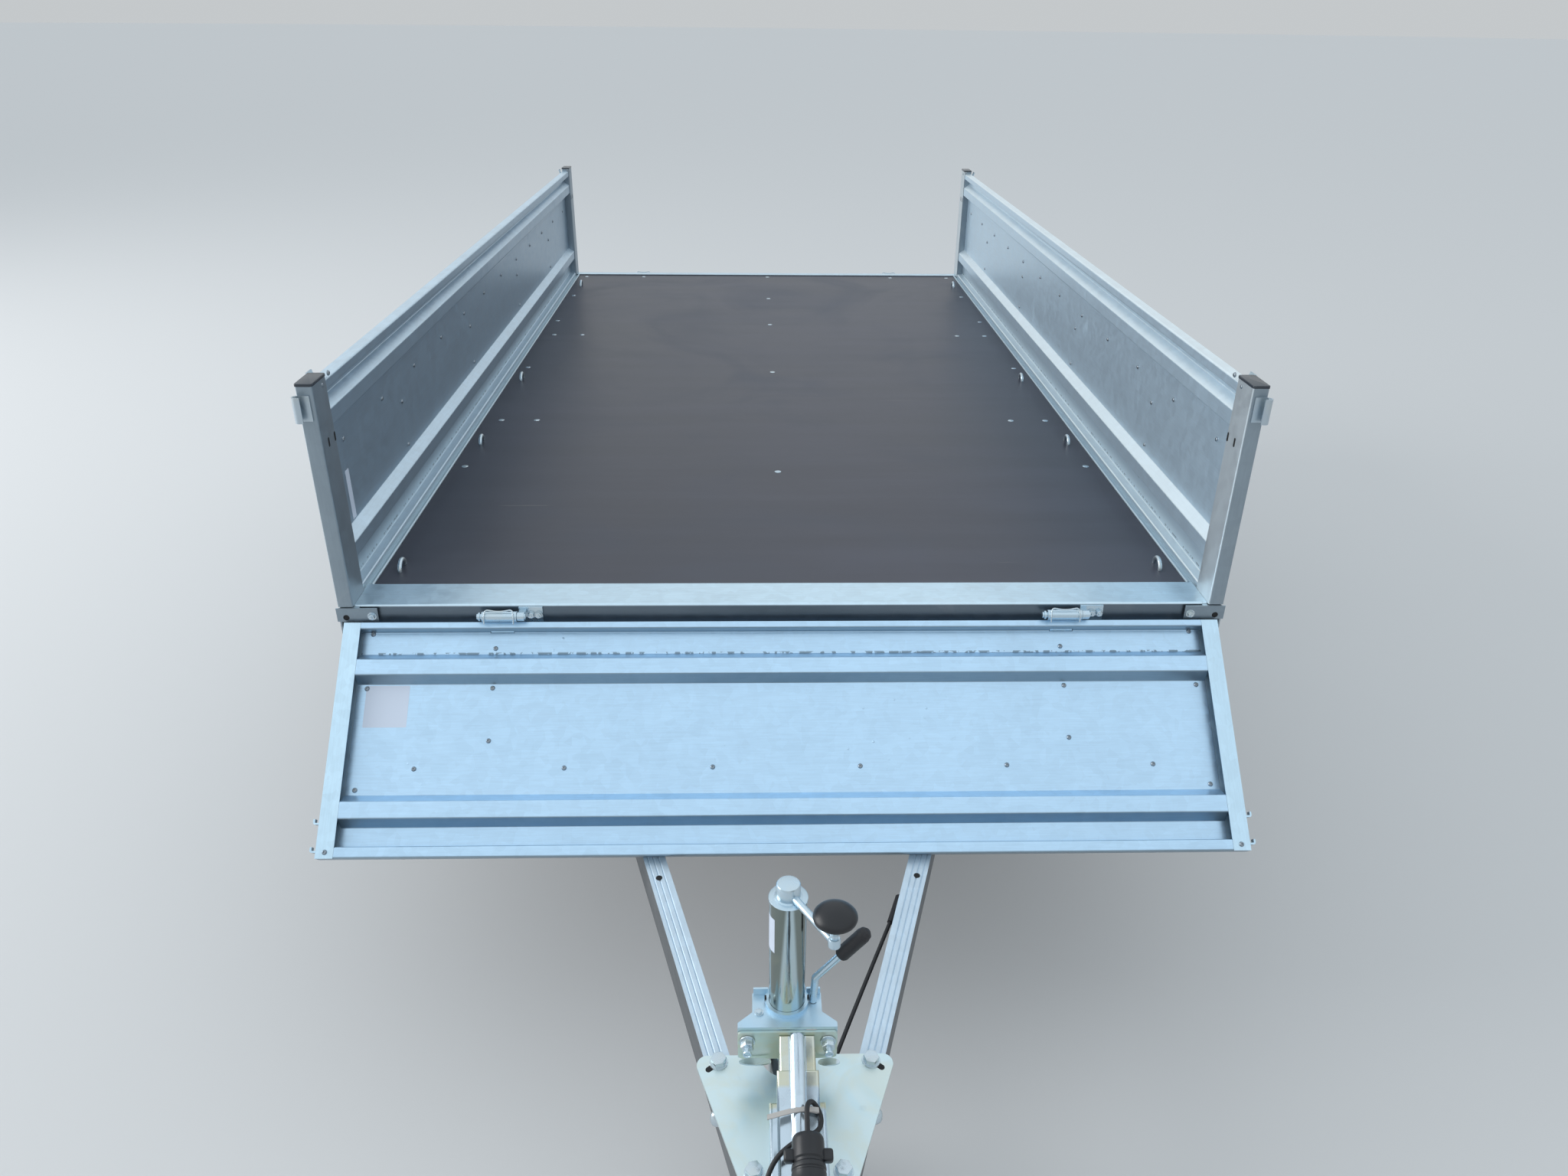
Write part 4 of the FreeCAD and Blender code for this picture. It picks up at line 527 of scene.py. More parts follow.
def bentWire(name, points, radius, material, facets=3):
    curve = bpy.data.curves.new(name, "CURVE")
    curve.dimensions = "3D"
    curve.bevel_depth = radius
    curve.bevel_resolution = facets
    curve.use_fill_caps = True
    curve.resolution_u = 8
    spline = curve.splines.new("NURBS")
    spline.points.add(len(points) - 1)
    for target, point in zip(spline.points, points):
        target.co = (*point, 1.0)
    spline.order_u = 3
    spline.use_endpoint_u = True
    return addPiece(name, curve, material)


def ofKind(geom, kind):
    return [g for g in geom if isinstance(g, kind)]


def uprightEdges(bm):
    return [e for e in bm.edges if abs(e.verts[0].co.z - e.verts[1].co.z) > 1e-6]


def rounded(bm, edges, offset, segments):
    bmesh.ops.bevel(bm, geom=edges, offset=offset, segments=segments, profile=0.5, affect="EDGES",
                    material=-1)


def block(bm, size):
    made = bmesh.ops.create_cube(bm, size=1.0)["verts"]
    bmesh.ops.scale(bm, vec=size, verts=made)
    return made


def drawnEdge(bm, edge, shift):
    fresh = ofKind(bmesh.ops.extrude_edge_only(bm, edges=[edge])["geom"], bmesh.types.BMVert)
    bmesh.ops.translate(bm, vec=shift, verts=fresh)
    return [e for e in bm.edges if e.verts[0] in fresh and e.verts[1] in fresh][0]


def drawnFace(bm, face, shift):
    face = ofKind(bmesh.ops.extrude_face_region(bm, geom=[face])["geom"], bmesh.types.BMFace)[0]
    bmesh.ops.translate(bm, vec=shift, verts=face.verts)
    return face


def thickened(bm, thickness):
    bmesh.ops.recalc_face_normals(bm, faces=bm.faces)
    bmesh.ops.solidify(bm, geom=bm.faces[:], thickness=thickness)
    bmesh.ops.recalc_face_normals(bm, faces=bm.faces)


def turnedShape(outline, steps):
    bm = bmesh.new()
    verts = [bm.verts.new((r / 1000, 0, h / 1000)) for r, h in outline]
    edges = [bm.edges.new(pair) for pair in zip(verts, verts[1:])]
    if outline[0] == outline[-1]:
        bm.verts.remove(verts[-1])
        edges = edges[:-1] + [bm.edges.new((verts[-2], verts[0]))]
        verts = verts[:-1]
    bmesh.ops.spin(bm, geom=verts + edges, cent=(0, 0, 0), axis=(0, 0, 1), angle=2 * math.pi,
                   steps=steps, use_merge=True)
    bmesh.ops.remove_doubles(bm, verts=bm.verts, dist=1e-6)
    bmesh.ops.recalc_face_normals(bm, faces=bm.faces)
    return bm


def stamped(pattern, places, onto=None):
    mesh = bpy.data.meshes.new("pattern")
    pattern.to_mesh(mesh)
    pattern.free()
    bm = onto or bmesh.new()
    for place in places:
        start = len(bm.verts)
        bm.from_mesh(mesh)
        bm.verts.ensure_lookup_table()
        bmesh.ops.transform(bm, matrix=place, verts=bm.verts[start:])
    bpy.data.meshes.remove(mesh)
    return bm


def cone(bm, segments, foot, top, depth, spot):
    bmesh.ops.create_cone(bm, cap_ends=True, segments=segments, radius1=foot, radius2=top, depth=depth,
                          matrix=Matrix.Translation(spot))


def hexBolt(flats, head, washer, stud=0.0):
    bm = bmesh.new()
    across = flats / 2000 / math.cos(math.pi / 6)
    low = 1.6 / 1000
    middle = low + head / 2000
    cone(bm, 6, across, across, head / 1000, (0, 0, middle))
    rounded(bm, [e for e in bm.edges if min(v.co.z for v in e.verts) > middle], head / 1000 * 0.16, 2)
    cone(bm, 24, washer / 1000, washer / 1000 * 0.96, low, (0, 0, low / 2))
    if stud:
        cone(bm, 16, flats / 3700, flats / 4300, stud / 1000, (0, 0, low + (head + stud / 2) / 1000))
    return bm


def domeRivet(radius, height):
    return turnedShape([(0, height), (radius * 0.45, height * 0.93), (radius * 0.8, height * 0.66),
                        (radius, height * 0.2), (radius, -0.4), (0, -0.4)], 12)


def blindRivet(radius, height):
    return turnedShape([(0, height * 0.35), (radius * 0.30, height * 0.35),
                        (radius * 0.38, height * 0.96), (radius * 0.60, height),
                        (radius * 0.86, height * 0.62), (radius, height * 0.12), (radius, -0.4),
                        (0, -0.4)], 14)


def roundDisc(radius, low, high):
    return turnedShape([(0, high), (radius, high), (radius, low), (0, low)], 24)


def slotDisc(radius, length, thickness):
    bm = bmesh.new()
    ring = bmesh.ops.create_circle(bm, cap_ends=True, segments=24, radius=radius / 1000)["verts"]
    far = [v for v in ring if v.co.x > 1e-6]
    bmesh.ops.translate(bm, vec=(length / 1000, 0, 0), verts=far)
    drawnFace(bm, bm.faces[:][0], (0, 0, thickness / 1000))
    bmesh.ops.recalc_face_normals(bm, faces=bm.faces)
    return bm


def thinCard(width, height, thickness, corner):
    bm = bmesh.new()
    block(bm, (width / 1000, height / 1000, thickness / 1000))
    bmesh.ops.translate(bm, vec=(0, 0, thickness / 2000), verts=bm.verts)
    rounded(bm, uprightEdges(bm), corner / 1000, 4)
    return bm


# Camera and stage

cameraPlace = {"lens": 25.617, "pitch": 27.228, "turn": 1.6964, "roll": -0.6182,
               "spot": (-53.3, -1719.5, 919.8)}


def makeCamera():
    pitch, turn, roll = (math.radians(cameraPlace[key]) for key in ("pitch", "turn", "roll"))
    heading = Vector((math.sin(turn) * math.cos(pitch), math.cos(turn) * math.cos(pitch),
                      -math.sin(pitch)))
    level = Vector((math.cos(turn), -math.sin(turn), 0))
    down = heading.cross(level)
    side = level * math.cos(roll) + down * math.sin(roll)
    top = level * math.sin(roll) - down * math.cos(roll)
    data = bpy.data.cameras.new("photoCamera")
    data.sensor_fit = "HORIZONTAL"
    data.sensor_width = 36.0
    data.lens = cameraPlace["lens"]
    data.clip_end = 500.0
    camera = addObject("photoCamera", data)
    turnedTo = Matrix((side, top, -heading)).transposed().to_4x4()
    camera.matrix_world = Matrix.Translation(bed(*cameraPlace["spot"])) @ turnedTo
    bpy.context.scene.camera = camera


stageLook = {"floor": (0.62, 0.62, 0.62), "radius": 160.0, "sky": (0.86, 0.94, 1.0), "skyLevel": 1.0,
             "horizon": (0.555, 0.580, 0.595), "keyWatts": 480.0, "keySize": 6.0,
             "keySpot": (-8600.0, 700.0, 2900.0), "keyTarget": (0, 900, -100)}


def makeFloor():
    bm = bmesh.new()
    bmesh.ops.create_circle(bm, cap_ends=True, segments=64, radius=stageLook["radius"])
    mesh = bpy.data.meshes.new("stageFloor")
    bm.to_mesh(mesh)
    bm.free()
    finish = Finish("stageFloor", stageLook["floor"], 0.0, 0.9)
    # Seen from below, the floor lets the underside of the trailer show
    seeThrough = finish.node("ShaderNodeBsdfTransparent")
    under = finish.node("ShaderNodeNewGeometry").outputs["Backfacing"]
    mixed = finish.node("ShaderNodeMixShader", {0: under, 1: finish.shader.outputs["BSDF"],
                                                2: seeThrough.outputs["BSDF"]})
    finish.join(mixed.outputs[0], finish.output.inputs["Surface"])
    mesh.materials.append(finish.material)
    floor = addObject("stageFloor", mesh)


def makeSky():
    world = bpy.data.worlds.new("paleSky")
    bpy.context.scene.world = world
    world.use_nodes = True
    tree = world.node_tree
    direction = tree.nodes.new("ShaderNodeTexCoord")
    parts = tree.nodes.new("ShaderNodeSeparateXYZ")
    tree.links.new(direction.outputs["Generated"], parts.inputs[0])
    ramp = tree.nodes.new("ShaderNodeValToRGB")
    ramp.color_ramp.interpolation = "EASE"
    for stop, place, colour in zip(ramp.color_ramp.elements, (0.0, 0.75), ("horizon", "sky")):
        stop.position = place
        stop.color = (*stageLook[colour], 1.0)
    tree.links.new(parts.outputs["Z"], ramp.inputs[0])
    tree.links.new(ramp.outputs[0], tree.nodes["Background"].inputs["Color"])
    tree.nodes["Background"].inputs["Strength"].default_value = stageLook["skyLevel"]


def makeKeyLight():
    data = bpy.data.lights.new("softKey", "AREA")
    data.energy = stageLook["keyWatts"]
    data.size = stageLook["keySize"]
    key = addObject("softKey", data)
    spot = bed(*stageLook["keySpot"])
    key.matrix_world = aim(spot, (spot - bed(*stageLook["keyTarget"])).normalized())


makeCamera()
makeFloor()
makeSky()
makeKeyLight()
bpy.context.scene.view_settings.view_transform = "Standard"
print("camera and stage made")


# Wiring cable with its plug

cableRoute = {"diameter": 0.0063, "length": 1.002, "rows": [
    (159.0, -398.0, -28.5), (30.0, -692.0, -29.0), (12.0, -768.0, -25.0), (1.0, -838.0, -25.0),
    (1.0, -890.0, -24.0), (-3.0, -936.0, -24.0), (-14.0, -972.0, -24.0), (-44.0, -983.0, -14.0),
    (-62.0, -955.0, 3.0), (-57.0, -918.0, 22.0), (-48.0, -880.0, 42.0), (-36.0, -842.0, 64.0),
    (-6.0, -822.0, 75.0), (24.0, -810.0, 71.5), (29.0, -791.0, 72.0), (18.0, -779.0, 86.0),
    (9.5, -790.0, 98.0), (8.4, -810.0, 98.5), (8.5, -832.0, 98.2)]}
# The lugs, the slotted gland between two radii and the pins are in metres
plugSizes = {"radius": 22.0, "drop": 13.7, "lug": (0.016, 0.013, 0.015), "lugOut": 0.0215, "lugAt": 0.0235,
             "gland": (0.0075, 0.0144), "pinCircle": 0.009, "pinRadius": 0.0018, "pinLength": 0.003,
             "pinAt": 0.0815}


def makePlug():
    sizes = plugSizes
    r = sizes["radius"]
    outline = [(0, 2.4), (4.6, 2.4), (6.0, 1.0), (7.4, 0), (14.5, 0), (17.4, 1.2), (19.0, 4),
               (19.6, 8), (19.6, 28), (18.0, 30), (18.0, 33), (20.2, 35), (20.8, 38), (20.8, 40),
               (19.8, 41), (19.8, 43), (20.8, 44), (r - 1.0, 54), (r, 56), (r + 1.5, 57.5),
               (r + 2.5, 60), (r + 2.5, 84), (r + 1.8, 84.7), (r + 0.2, 84.7), (r - 0.5, 84),
               (r - 0.5, 62), (r - 6, 61), (r - 6, 79.5), (r - 7, 80.5), (0, 80.5)]
    bm = turnedShape(outline, 80)
    wedges = []
    for face in bm.faces:
        centre = face.calc_center_median()
        inside = sizes["gland"][0] < centre.to_2d().length < sizes["gland"][1]
        if centre.z < 0.0006 and inside and math.degrees(math.atan2(centre.y, centre.x)) % 45 < 18:
            wedges.append(face)
    bmesh.ops.inset_region(bm, faces=wedges, thickness=0.0003, depth=-0.0022)
    for side in both:
        made = block(bm, sizes["lug"])
        bmesh.ops.translate(bm, vec=(side * sizes["lugOut"], 0, sizes["lugAt"]), verts=made)
        rounded(bm, list({e for v in made for e in v.link_edges}), 0.0035, 3)
    ring = [2 * math.pi * k / 6 for k in range(6)]
    spots = [(sizes["pinCircle"] * math.cos(a), sizes["pinCircle"] * math.sin(a)) for a in ring] + [(0, 0)]
    for spot in spots:
        cone(bm, 12, sizes["pinRadius"], sizes["pinRadius"], sizes["pinLength"], (*spot, sizes["pinAt"]))
    drop = math.radians(sizes["drop"])
    heading = Vector((0, -math.cos(drop), -math.sin(drop)))
    rear = onLegs(*cableRoute["rows"][-1]) + heading * 0.0003
    return madePiece("cablePlug", bm, blackPlastic, replaced=["cable_plug"], place=aim(rear, heading))


def makeCable():
    points = [onLegs(*row) for row in cableRoute["rows"]]
    cable = bentWire("wiringCable", points, cableRoute["diameter"] / 2, cableSheath, facets=5)
    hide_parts("wiring_cable")
    plug = makePlug()


makeCable()
print("cable and plug made")


# Road wheels

wheelPlace = {"x": 648.0, "y": 1428.0, "z": -453.0, "flange": 676.0, "boltCircle": 0.050}
tyreSizes = {"outer": 297.0, "half": 82.5, "seat": 165.3, "grooves": (-38.0, -13.0, 13.0, 38.0),
             "grooveHalf": 3.6, "grooveDepth": 7.0, "steps": 96}


def wheelTurn(side):
    spot = bed(side * wheelPlace["x"], wheelPlace["y"], wheelPlace["z"])
    return aim(spot, rightward * side)


def makeTyre(side, name):
    t = tyreSizes
    outer, half, seat = t["outer"], t["half"], t["seat"]
    tread = []
    for centre in t["grooves"]:
        crown = outer - abs(centre) * 0.02
        floor = crown - t["grooveDepth"]
        width = t["grooveHalf"]
        tread += [(crown, centre - width), (floor, centre - width * 0.6),
                  (floor, centre + width * 0.6), (crown, centre + width)]
    left = [(seat, -57), (seat + 6, -62), (seat + 14, -60), (seat + 26, -70), (seat + 38, -half + 3),
            (seat + 52, -half + 0.5), (seat + 66, -half), (seat + 90, -half + 3),
            (outer - 24, -half + 6), (outer - 16, -half + 9), (outer - 7, -half + 15),
            (outer - 3, -half + 23)]
    right = [(r, -h) for r, h in left[::-1]]
    inside = [(seat, 42), (seat + 60, 60), (outer - 18, 42), (outer - 18, -42), (seat + 60, -60),
              (seat, -42)]
    outline = left + tread + right + inside
    bm = turnedShape(outline + [outline[0]], t["steps"])
    shoulder = []
    for face in bm.faces:
        centre = face.calc_center_median()
        reach = centre.to_2d().length * 1000
        turn = math.degrees(math.atan2(centre.y, centre.x)) % 360
        lug = int(turn / (360 / t["steps"])) % 4 == 0
        if reach > outer - 14 and abs(centre.z * 1000) > 46 and lug:
            shoulder.append(face)
    bmesh.ops.inset_region(bm, faces=shoulder, thickness=0.0012, depth=-0.0045)
    bmesh.ops.transform(bm, matrix=wheelTurn(side), verts=bm.verts)
    bmesh.ops.recalc_face_normals(bm, faces=bm.faces)
    madePiece("tyre" + name, bm, tyreBlack, 32, "wheel_" + name.lower(), ["tyre_" + name.lower()])


def makeWheelFittings(side, name):
    body = "wheel_" + name.lower()
    hub = wheelTurn(side)
    across = (wheelPlace["flange"] + 5.6 - wheelPlace["x"]) / 1000
    reach = wheelPlace["boltCircle"]
    ring = [2 * math.pi * (k + 0.25) / 5 for k in range(5)]
    places = [hub @ Matrix.Translation((reach * math.cos(a), reach * math.sin(a), across)) for a in ring]
    bolts = stamped(hexBolt(17, 9, 11.5), places)
    madePiece("wheelBolts" + name, bolts, fastenerSteel, body=body, slot="rim_silver")
    cap = turnedShape([(0, 31.2), (14, 31.2), (19, 30), (21.5, 28.3), (21.5, 28.2), (0, 28.2)], 40)
    madePiece("greaseCap" + name, cap, platedSteel, 40, body, slot="rim_silver",
              place=hub @ Matrix.Translation((0, 0, 0.028)))
    valve = turnedShape([(0, 0), (5.5, 0), (4.6, 6), (3.8, 26), (4.3, 27), (4.3, 36), (3.2, 37.5),
                         (0, 37.5)], 20)
    madePiece("tyreValve" + name, valve, gripRubber, 40, body,
              place=hub @ Matrix.Translation((0, 0.128, 0.012)))


for side, name in ((1, "Right"), (-1, "Left")):
    makeTyre(side, name)
    makeWheelFittings(side, name)
print("wheels made")


# Posts: rolled edges, thin caps, a pair of slots on the inside drawn as dark discs of painted shade

postShape = {"wall": 2.2, "edge": 3.0, "inner": 748.0, "depth": 63.0, "capHeight": 4.6, "capOver": 1.6,
             "slots": (29.0, 58.0), "slotHeight": 285.5, "slotHalf": 3.0, "slotLength": 10.0}


def makePosts():
    shape = postShape
    width = bedHalf - shape["inner"]
    middle = shape["inner"] + width / 2
    depth = shape["depth"]
    top = (postHigh.z - bedLevel) * 1000
    pattern = bmesh.new()
    block(pattern, (width / 1000, depth / 1000, top / 1000))
    rounded(pattern, uprightEdges(pattern), shape["edge"] / 1000, 4)
    ends = [f for f in pattern.faces if abs(f.normal.z) > 0.9]
    bmesh.ops.inset_individual(pattern, faces=ends, thickness=shape["wall"] / 1000, depth=0)
    ends = [f for f in pattern.faces if abs(f.normal.z) > 0.9 and len(f.verts) > 4]
    for face in ends:
        bmesh.ops.translate(pattern, vec=face.normal * -0.020, verts=face.verts)
    bmesh.ops.recalc_face_normals(pattern, faces=pattern.faces)
    spots = [(side * middle, y) for y in (depth / 2, bedLength - depth / 2) for side in both]
    places = [Matrix.Translation(bed(x, y, top / 2)) for x, y in spots]
    madePiece("cornerPosts", stamped(pattern, places), postZinc, replaced=["corner_posts"])
    slots = []
    for side in both:
        lying = Matrix.Rotation(math.radians(-90 * side), 4, "Y")
        upright = Matrix.Rotation(math.radians(0 if side > 0 else 180), 4, "Z")
        for y in shape["slots"]:
            for row in (y, bedLength - y):
                spot = bed(side * shape["inner"], row, shape["slotHeight"])
                slots.append(Matrix.Translation(spot) @ lying @ upright)
    # Dark discs stand in for the slots: painted shade in the holes
    disc = slotDisc(shape["slotHalf"], shape["slotLength"], 0.25)
    madePiece("postSlotShadows", stamped(disc, slots), holeShadow)
    cap = thinCard(width + shape["capOver"], depth + shape["capOver"], shape["capHeight"], 3.8)
    rim = [e for e in cap.edges if min(v.co.z for v in e.verts) > shape["capHeight"] / 2000]
    rounded(cap, rim, 0.0012, 3)
    places = [Matrix.Translation(bed(x, y, top)) for x, y in spots]
    madePiece("postCaps", stamped(cap, places), capPlastic, replaced=["post_caps"])


makePosts()
print("posts made")


# Floor: lashing loops and screws

loopSizes = {"x": 706.0, "fromFront": (155.0, 838.0, 1361.0), "fromRear": (239.0,), "radius": 17.0,
             "bar": 4.0, "facets": 14}
screwRows = [(0, 647), (0, 1436), (0, 1990), (0, 2372), (0, 2744), (711, 680), (711, 1479),
             (711, 2034), (711, 2410), (604, 1005), (693, 1005), (604, 1850), (693, 1850),
             (484, 2740), (706, 2740)]


def makeLoops():
    sizes = loopSizes
    bm = bmesh.new()
    ring = bmesh.ops.create_circle(bm, segments=sizes["facets"], radius=sizes["bar"] / 1000)["verts"]
    bmesh.ops.translate(bm, vec=(0, sizes["radius"] / 1000, 0), verts=ring)
    edges = list({e for v in ring for e in v.link_edges})
    bmesh.ops.spin(bm, geom=ring + edges, cent=(0, 0, 0), axis=(1, 0, 0), angle=math.pi, steps=24)
    bmesh.ops.holes_fill(bm, edges=bm.edges, sides=sizes["facets"])
    bmesh.ops.recalc_face_normals(bm, faces=bm.faces)
    rows = list(sizes["fromFront"]) + [bedLength - d for d in sizes["fromRear"]]
    places = [Matrix.Translation(bed(side * sizes["x"], y, -1.6)) for y in rows for side in both]
    madePiece("lashingLoops", stamped(bm, places), fastenerSteel, 60, replaced=["tie_loops"])


def makeScrews():
    places = []
    for x, y in screwRows:
        for side in (both if x else (1,)):
            places.append(Matrix.Translation(bed(side * x, y, -2.0)))
    madePiece("floorScrews", stamped(domeRivet(7.5, 1.3), places), fastenerSteel, 50)


makeLoops()
makeScrews()
print("floor fittings made")


# Boards: rivets, hinge fittings, keepers and blank labels

hingeCentres = (-495, 490)
boardRivets = {"columns": (-505.0, 486.0), "heights": (42.0, 113.0, 205.0),
               "hooks": (125.0, 375.0, 626.0), "hookHeight": 252.0,
               "ends": ((719.0, 15.5), (719.0, 113.0), (720.0, 287.0)), "frame": (750.0, 390.0),
               "strap": (52, 122, 205), "panel": -20.0, "outside": -24.8}


def makeBoardRivets(place, body, name):
    sizes = boardRivets
    rows = [(x, s) for x in sizes["columns"] for s in sizes["heights"]]
    rows += [(side * x, sizes["hookHeight"]) for x in sizes["hooks"] for side in both]
    rows += [(side * x, s) for x, s in sizes["ends"] for side in both]
    facing = boardFacing(place)
    places = [aim(place(x, s, sizes["panel"]), facing) for x, s in rows]
    x, s = sizes["frame"]
    places += [aim(place(side * x, s, 0), facing) for side in both]
    madePiece(name + "Rivets", stamped(blindRivet(4.4, 2.4), places), rivetSteel, 40, body)
    places = [aim(place(x, s, sizes["outside"]), -facing) for x in hingeCentres for s in sizes["strap"]]
    madePiece(name + "StrapBolts", stamped(domeRivet(6.5, 3.6), places), fastenerSteel, 50, body)


sideRivets = {"first": 150.0, "count": 12, "height": 253.0, "columns": (495.0, 1110.0, 1740.0),
              "columnHeights": (48.0, 118.0, 210.0), "top": (84.0, 390.0), "panel": 771, "rib": 751}


def makeSideRivets():
    sizes = sideRivets
    panel, rib = sizes["panel"], sizes["rib"]
    pitch = (bedLength - 2 * sizes["first"]) / (sizes["count"] - 1)
    spots = [(panel, sizes["first"] + pitch * k, sizes["height"]) for k in range(sizes["count"])]
    columns = sizes["columns"] + (bedLength - sizes["columns"][0],)
    spots += [(panel, y, z) for y in columns for z in sizes["columnHeights"]]
    y, z = sizes["top"]
    spots += [(rib, y, z), (rib, bedLength - y, z)]
    places = [aim(bed(side * x, y, z), rightward * -side) for x, y, z in spots for side in both]
    madePiece("sideBoardRivets", stamped(blindRivet(4.6, 2.6), places), rivetSteel, 40)


# Half of a clip's wire round its pin, across, outward and up from the hinge's axis, and the bolts' places
# across with their turns
clipShape = {"wire": 0.0013, "middle": (0, 4.0, 12.0), "half": [
    (-25, 12, -8), (-25.5, 11.8, -1), (-25, 9.4, 5), (-24, 4.5, 12.8), (-20, 3.6, 14.8), (-14, 3.5, 13.4),
    (-7, 3.8, 12.2)], "bolts": ((52, 252), (65, 408))}


def makeHingeFittings():
    half = clipShape["half"]
    rows = half + [clipShape["middle"]] + [(-x, y, z) for x, y, z in half[::-1]]
    for end, axisY, axisZ, out in (("front", -frontHinge["out"], -frontHinge["down"], -1),
                                   ("rear", bedLength + tailHinge["out"], -tailHinge["down"], 1)):
        for index, centre in enumerate(hingeCentres):
            points = [bed(centre + x, axisY + out * y, axisZ + z) for x, y, z in rows]
            bentWire("%sHingeClip%d" % (end, index + 1), points, clipShape["wire"], fastenerSteel)
        boltY = 1.3 if end == "front" else bedLength - 1.3
        places = [aim(bed(centre + x, boltY, axisZ - 3), rearward * out, spin)
                  for centre in hingeCentres for x, spin in clipShape["bolts"]]
        madePiece(end + "HingeBolts", stamped(hexBolt(10, 5, 7.0, 3.0), places), fastenerSteel)


keeperShape = {"leafFrom": 754.0, "curlAt": 771.5, "sheet": 2.6, "radius": 5.4, "low": 336.0,
               "height": 42.0, "curl": 190.0, "lip": 5.0, "gap": 0.3}


def makeKeepers():
    shape = keeperShape
    back = -shape["gap"] - shape["sheet"]
    pattern = bmesh.new()
    ends = [pattern.verts.new((shape["leafFrom"], back, z)) for z in (0, shape["height"])]
    edge = drawnEdge(pattern, pattern.edges.new(ends), (shape["curlAt"] - shape["leafFrom"], 0, 0))
    curl = bmesh.ops.spin(pattern, geom=[*edge.verts, edge],
                          cent=(shape["curlAt"], back - shape["radius"], 0), axis=(0, 0, 1),
                          angle=-math.radians(shape["curl"]), steps=14)["geom_last"]
    turned = math.radians(180 - shape["curl"])
    drawnEdge(pattern, ofKind(curl, bmesh.types.BMEdge)[0],
              (-shape["lip"] * math.cos(turned), -shape["lip"] * math.sin(turned), 0))
    bmesh.ops.remove_doubles(pattern, verts=pattern.verts, dist=1e-4)
    thickened(pattern, -shape["sheet"])
    scale = Matrix.Scale(0.001, 4)
    places = []
    for side in (Matrix.Identity(4), Matrix.Scale(-1, 4, rightward)):
        places.append(Matrix.Translation(bed(0, 0, shape["low"])) @ side @ scale)
        rear = Matrix.Translation(bed(0, bedLength, shape["low"])) @ Matrix.Scale(-1, 4, rearward)
        places.append(rear @ side @ scale)
    bm = stamped(pattern, places)
    bmesh.ops.recalc_face_normals(bm, faces=bm.faces)
    madePiece("keeperHooks", bm, keeperZinc, 35, replaced=["keepers"])


# Corner plates: bolts and holes as rows of Y, height and outward side
cornerFittings = {"boltFromEdge": 58.0, "bolts": ((-2.3, -16.5, -1, 8), (bedLength + 2.3, -15.5, 1, 21)),
                  "holeFromEdge": 13.0, "holes": ((-1.2, -20.0, -1), (bedLength + 1.2, -17.0, 1)),
                  "postRivet": (44.0, 382.0)}


def makeCornerBolts():
    x = bedHalf - cornerFittings["boltFromEdge"]
    places = [aim(bed(side * x, y, z), rearward * out, spin) for y, z, out, spin in cornerFittings["bolts"]
              for side in both]
    madePiece("cornerPlateBolts", stamped(hexBolt(10, 5, 8.0, 3.0), places), fastenerSteel)


def makeCornerHoles():
    sizes = cornerFittings
    x = bedHalf - sizes["holeFromEdge"]
    places = [aim(bed(side * x, y, z), rearward * out) for y, z, out in sizes["holes"] for side in both]
    madePiece("cornerHoleShadows", stamped(roundDisc(5.2, -0.8, 0.2), places), holeShadow)
    y, z = sizes["postRivet"]
    places = [aim(bed(side * postShape["inner"], row, z), rightward * -side)
              for row in (y, bedLength - y) for side in both]
    madePiece("postRivets", stamped(blindRivet(3.6, 1.8), places), rivetSteel, 40)


# Board and side: place, width and height; tube: axis, top, foot, radius, first angle and turn
blankLabels = {"board": (-683.0, 144.5, 74.0, 73.0), "side": (-771.0, 141.0, 153.0, 92.0, 18.0),
               "tube": (-12.0, -650.0, -90.5, -146.5, 24.12, -46, -40), "film": 0.15, "corner": 2.0}


def makeLabels():
    film, corner = blankLabels["film"], blankLabels["corner"]
    x, s, width, height = blankLabels["board"]
    card = thinCard(width, height, film, corner)
    place = aim(onFrontBoard(x, s, boardRivets["panel"]), boardFacing(onFrontBoard))
    madePiece("boardLabel", card, labelFilm, body="front_board", place=place)
    x, y, z, width, height = blankLabels["side"]
    card = thinCard(width, height, film, corner)
    madePiece("sideLabel", card, labelFilm, place=aim(bed(x, y, z), rightward, 90))
    x, y, top, low, radius, first, turn = blankLabels["tube"]
    wrap = bmesh.new()
    ends = [wrap.verts.new((0, -radius / 1000, z / 1000)) for z in (0, low - top)]
    edge = wrap.edges.new(ends)
    bmesh.ops.rotate(wrap, cent=(0, 0, 0), matrix=Matrix.Rotation(math.radians(first), 3, "Z"), verts=ends)
    bmesh.ops.spin(wrap, geom=ends + [edge], cent=(0, 0, 0), axis=(0, 0, 1), angle=math.radians(turn),
                   steps=10)
    thickened(wrap, 0.0001)
    madePiece("tubeLabel", wrap, labelFilm, place=Matrix.Translation(bed(x, y, top)))


makeBoardRivets(onFrontBoard, "front_board", "frontBoard")
makeBoardRivets(onTailBoard, "tail_board", "tailBoard")
makeSideRivets()
makeHingeFittings()
makeCornerBolts()
makeKeepers()
makeCornerHoles()
makeLabels()
print("board fittings made")


# Coupling housing, in millimetres across, along and above the tops of the legs

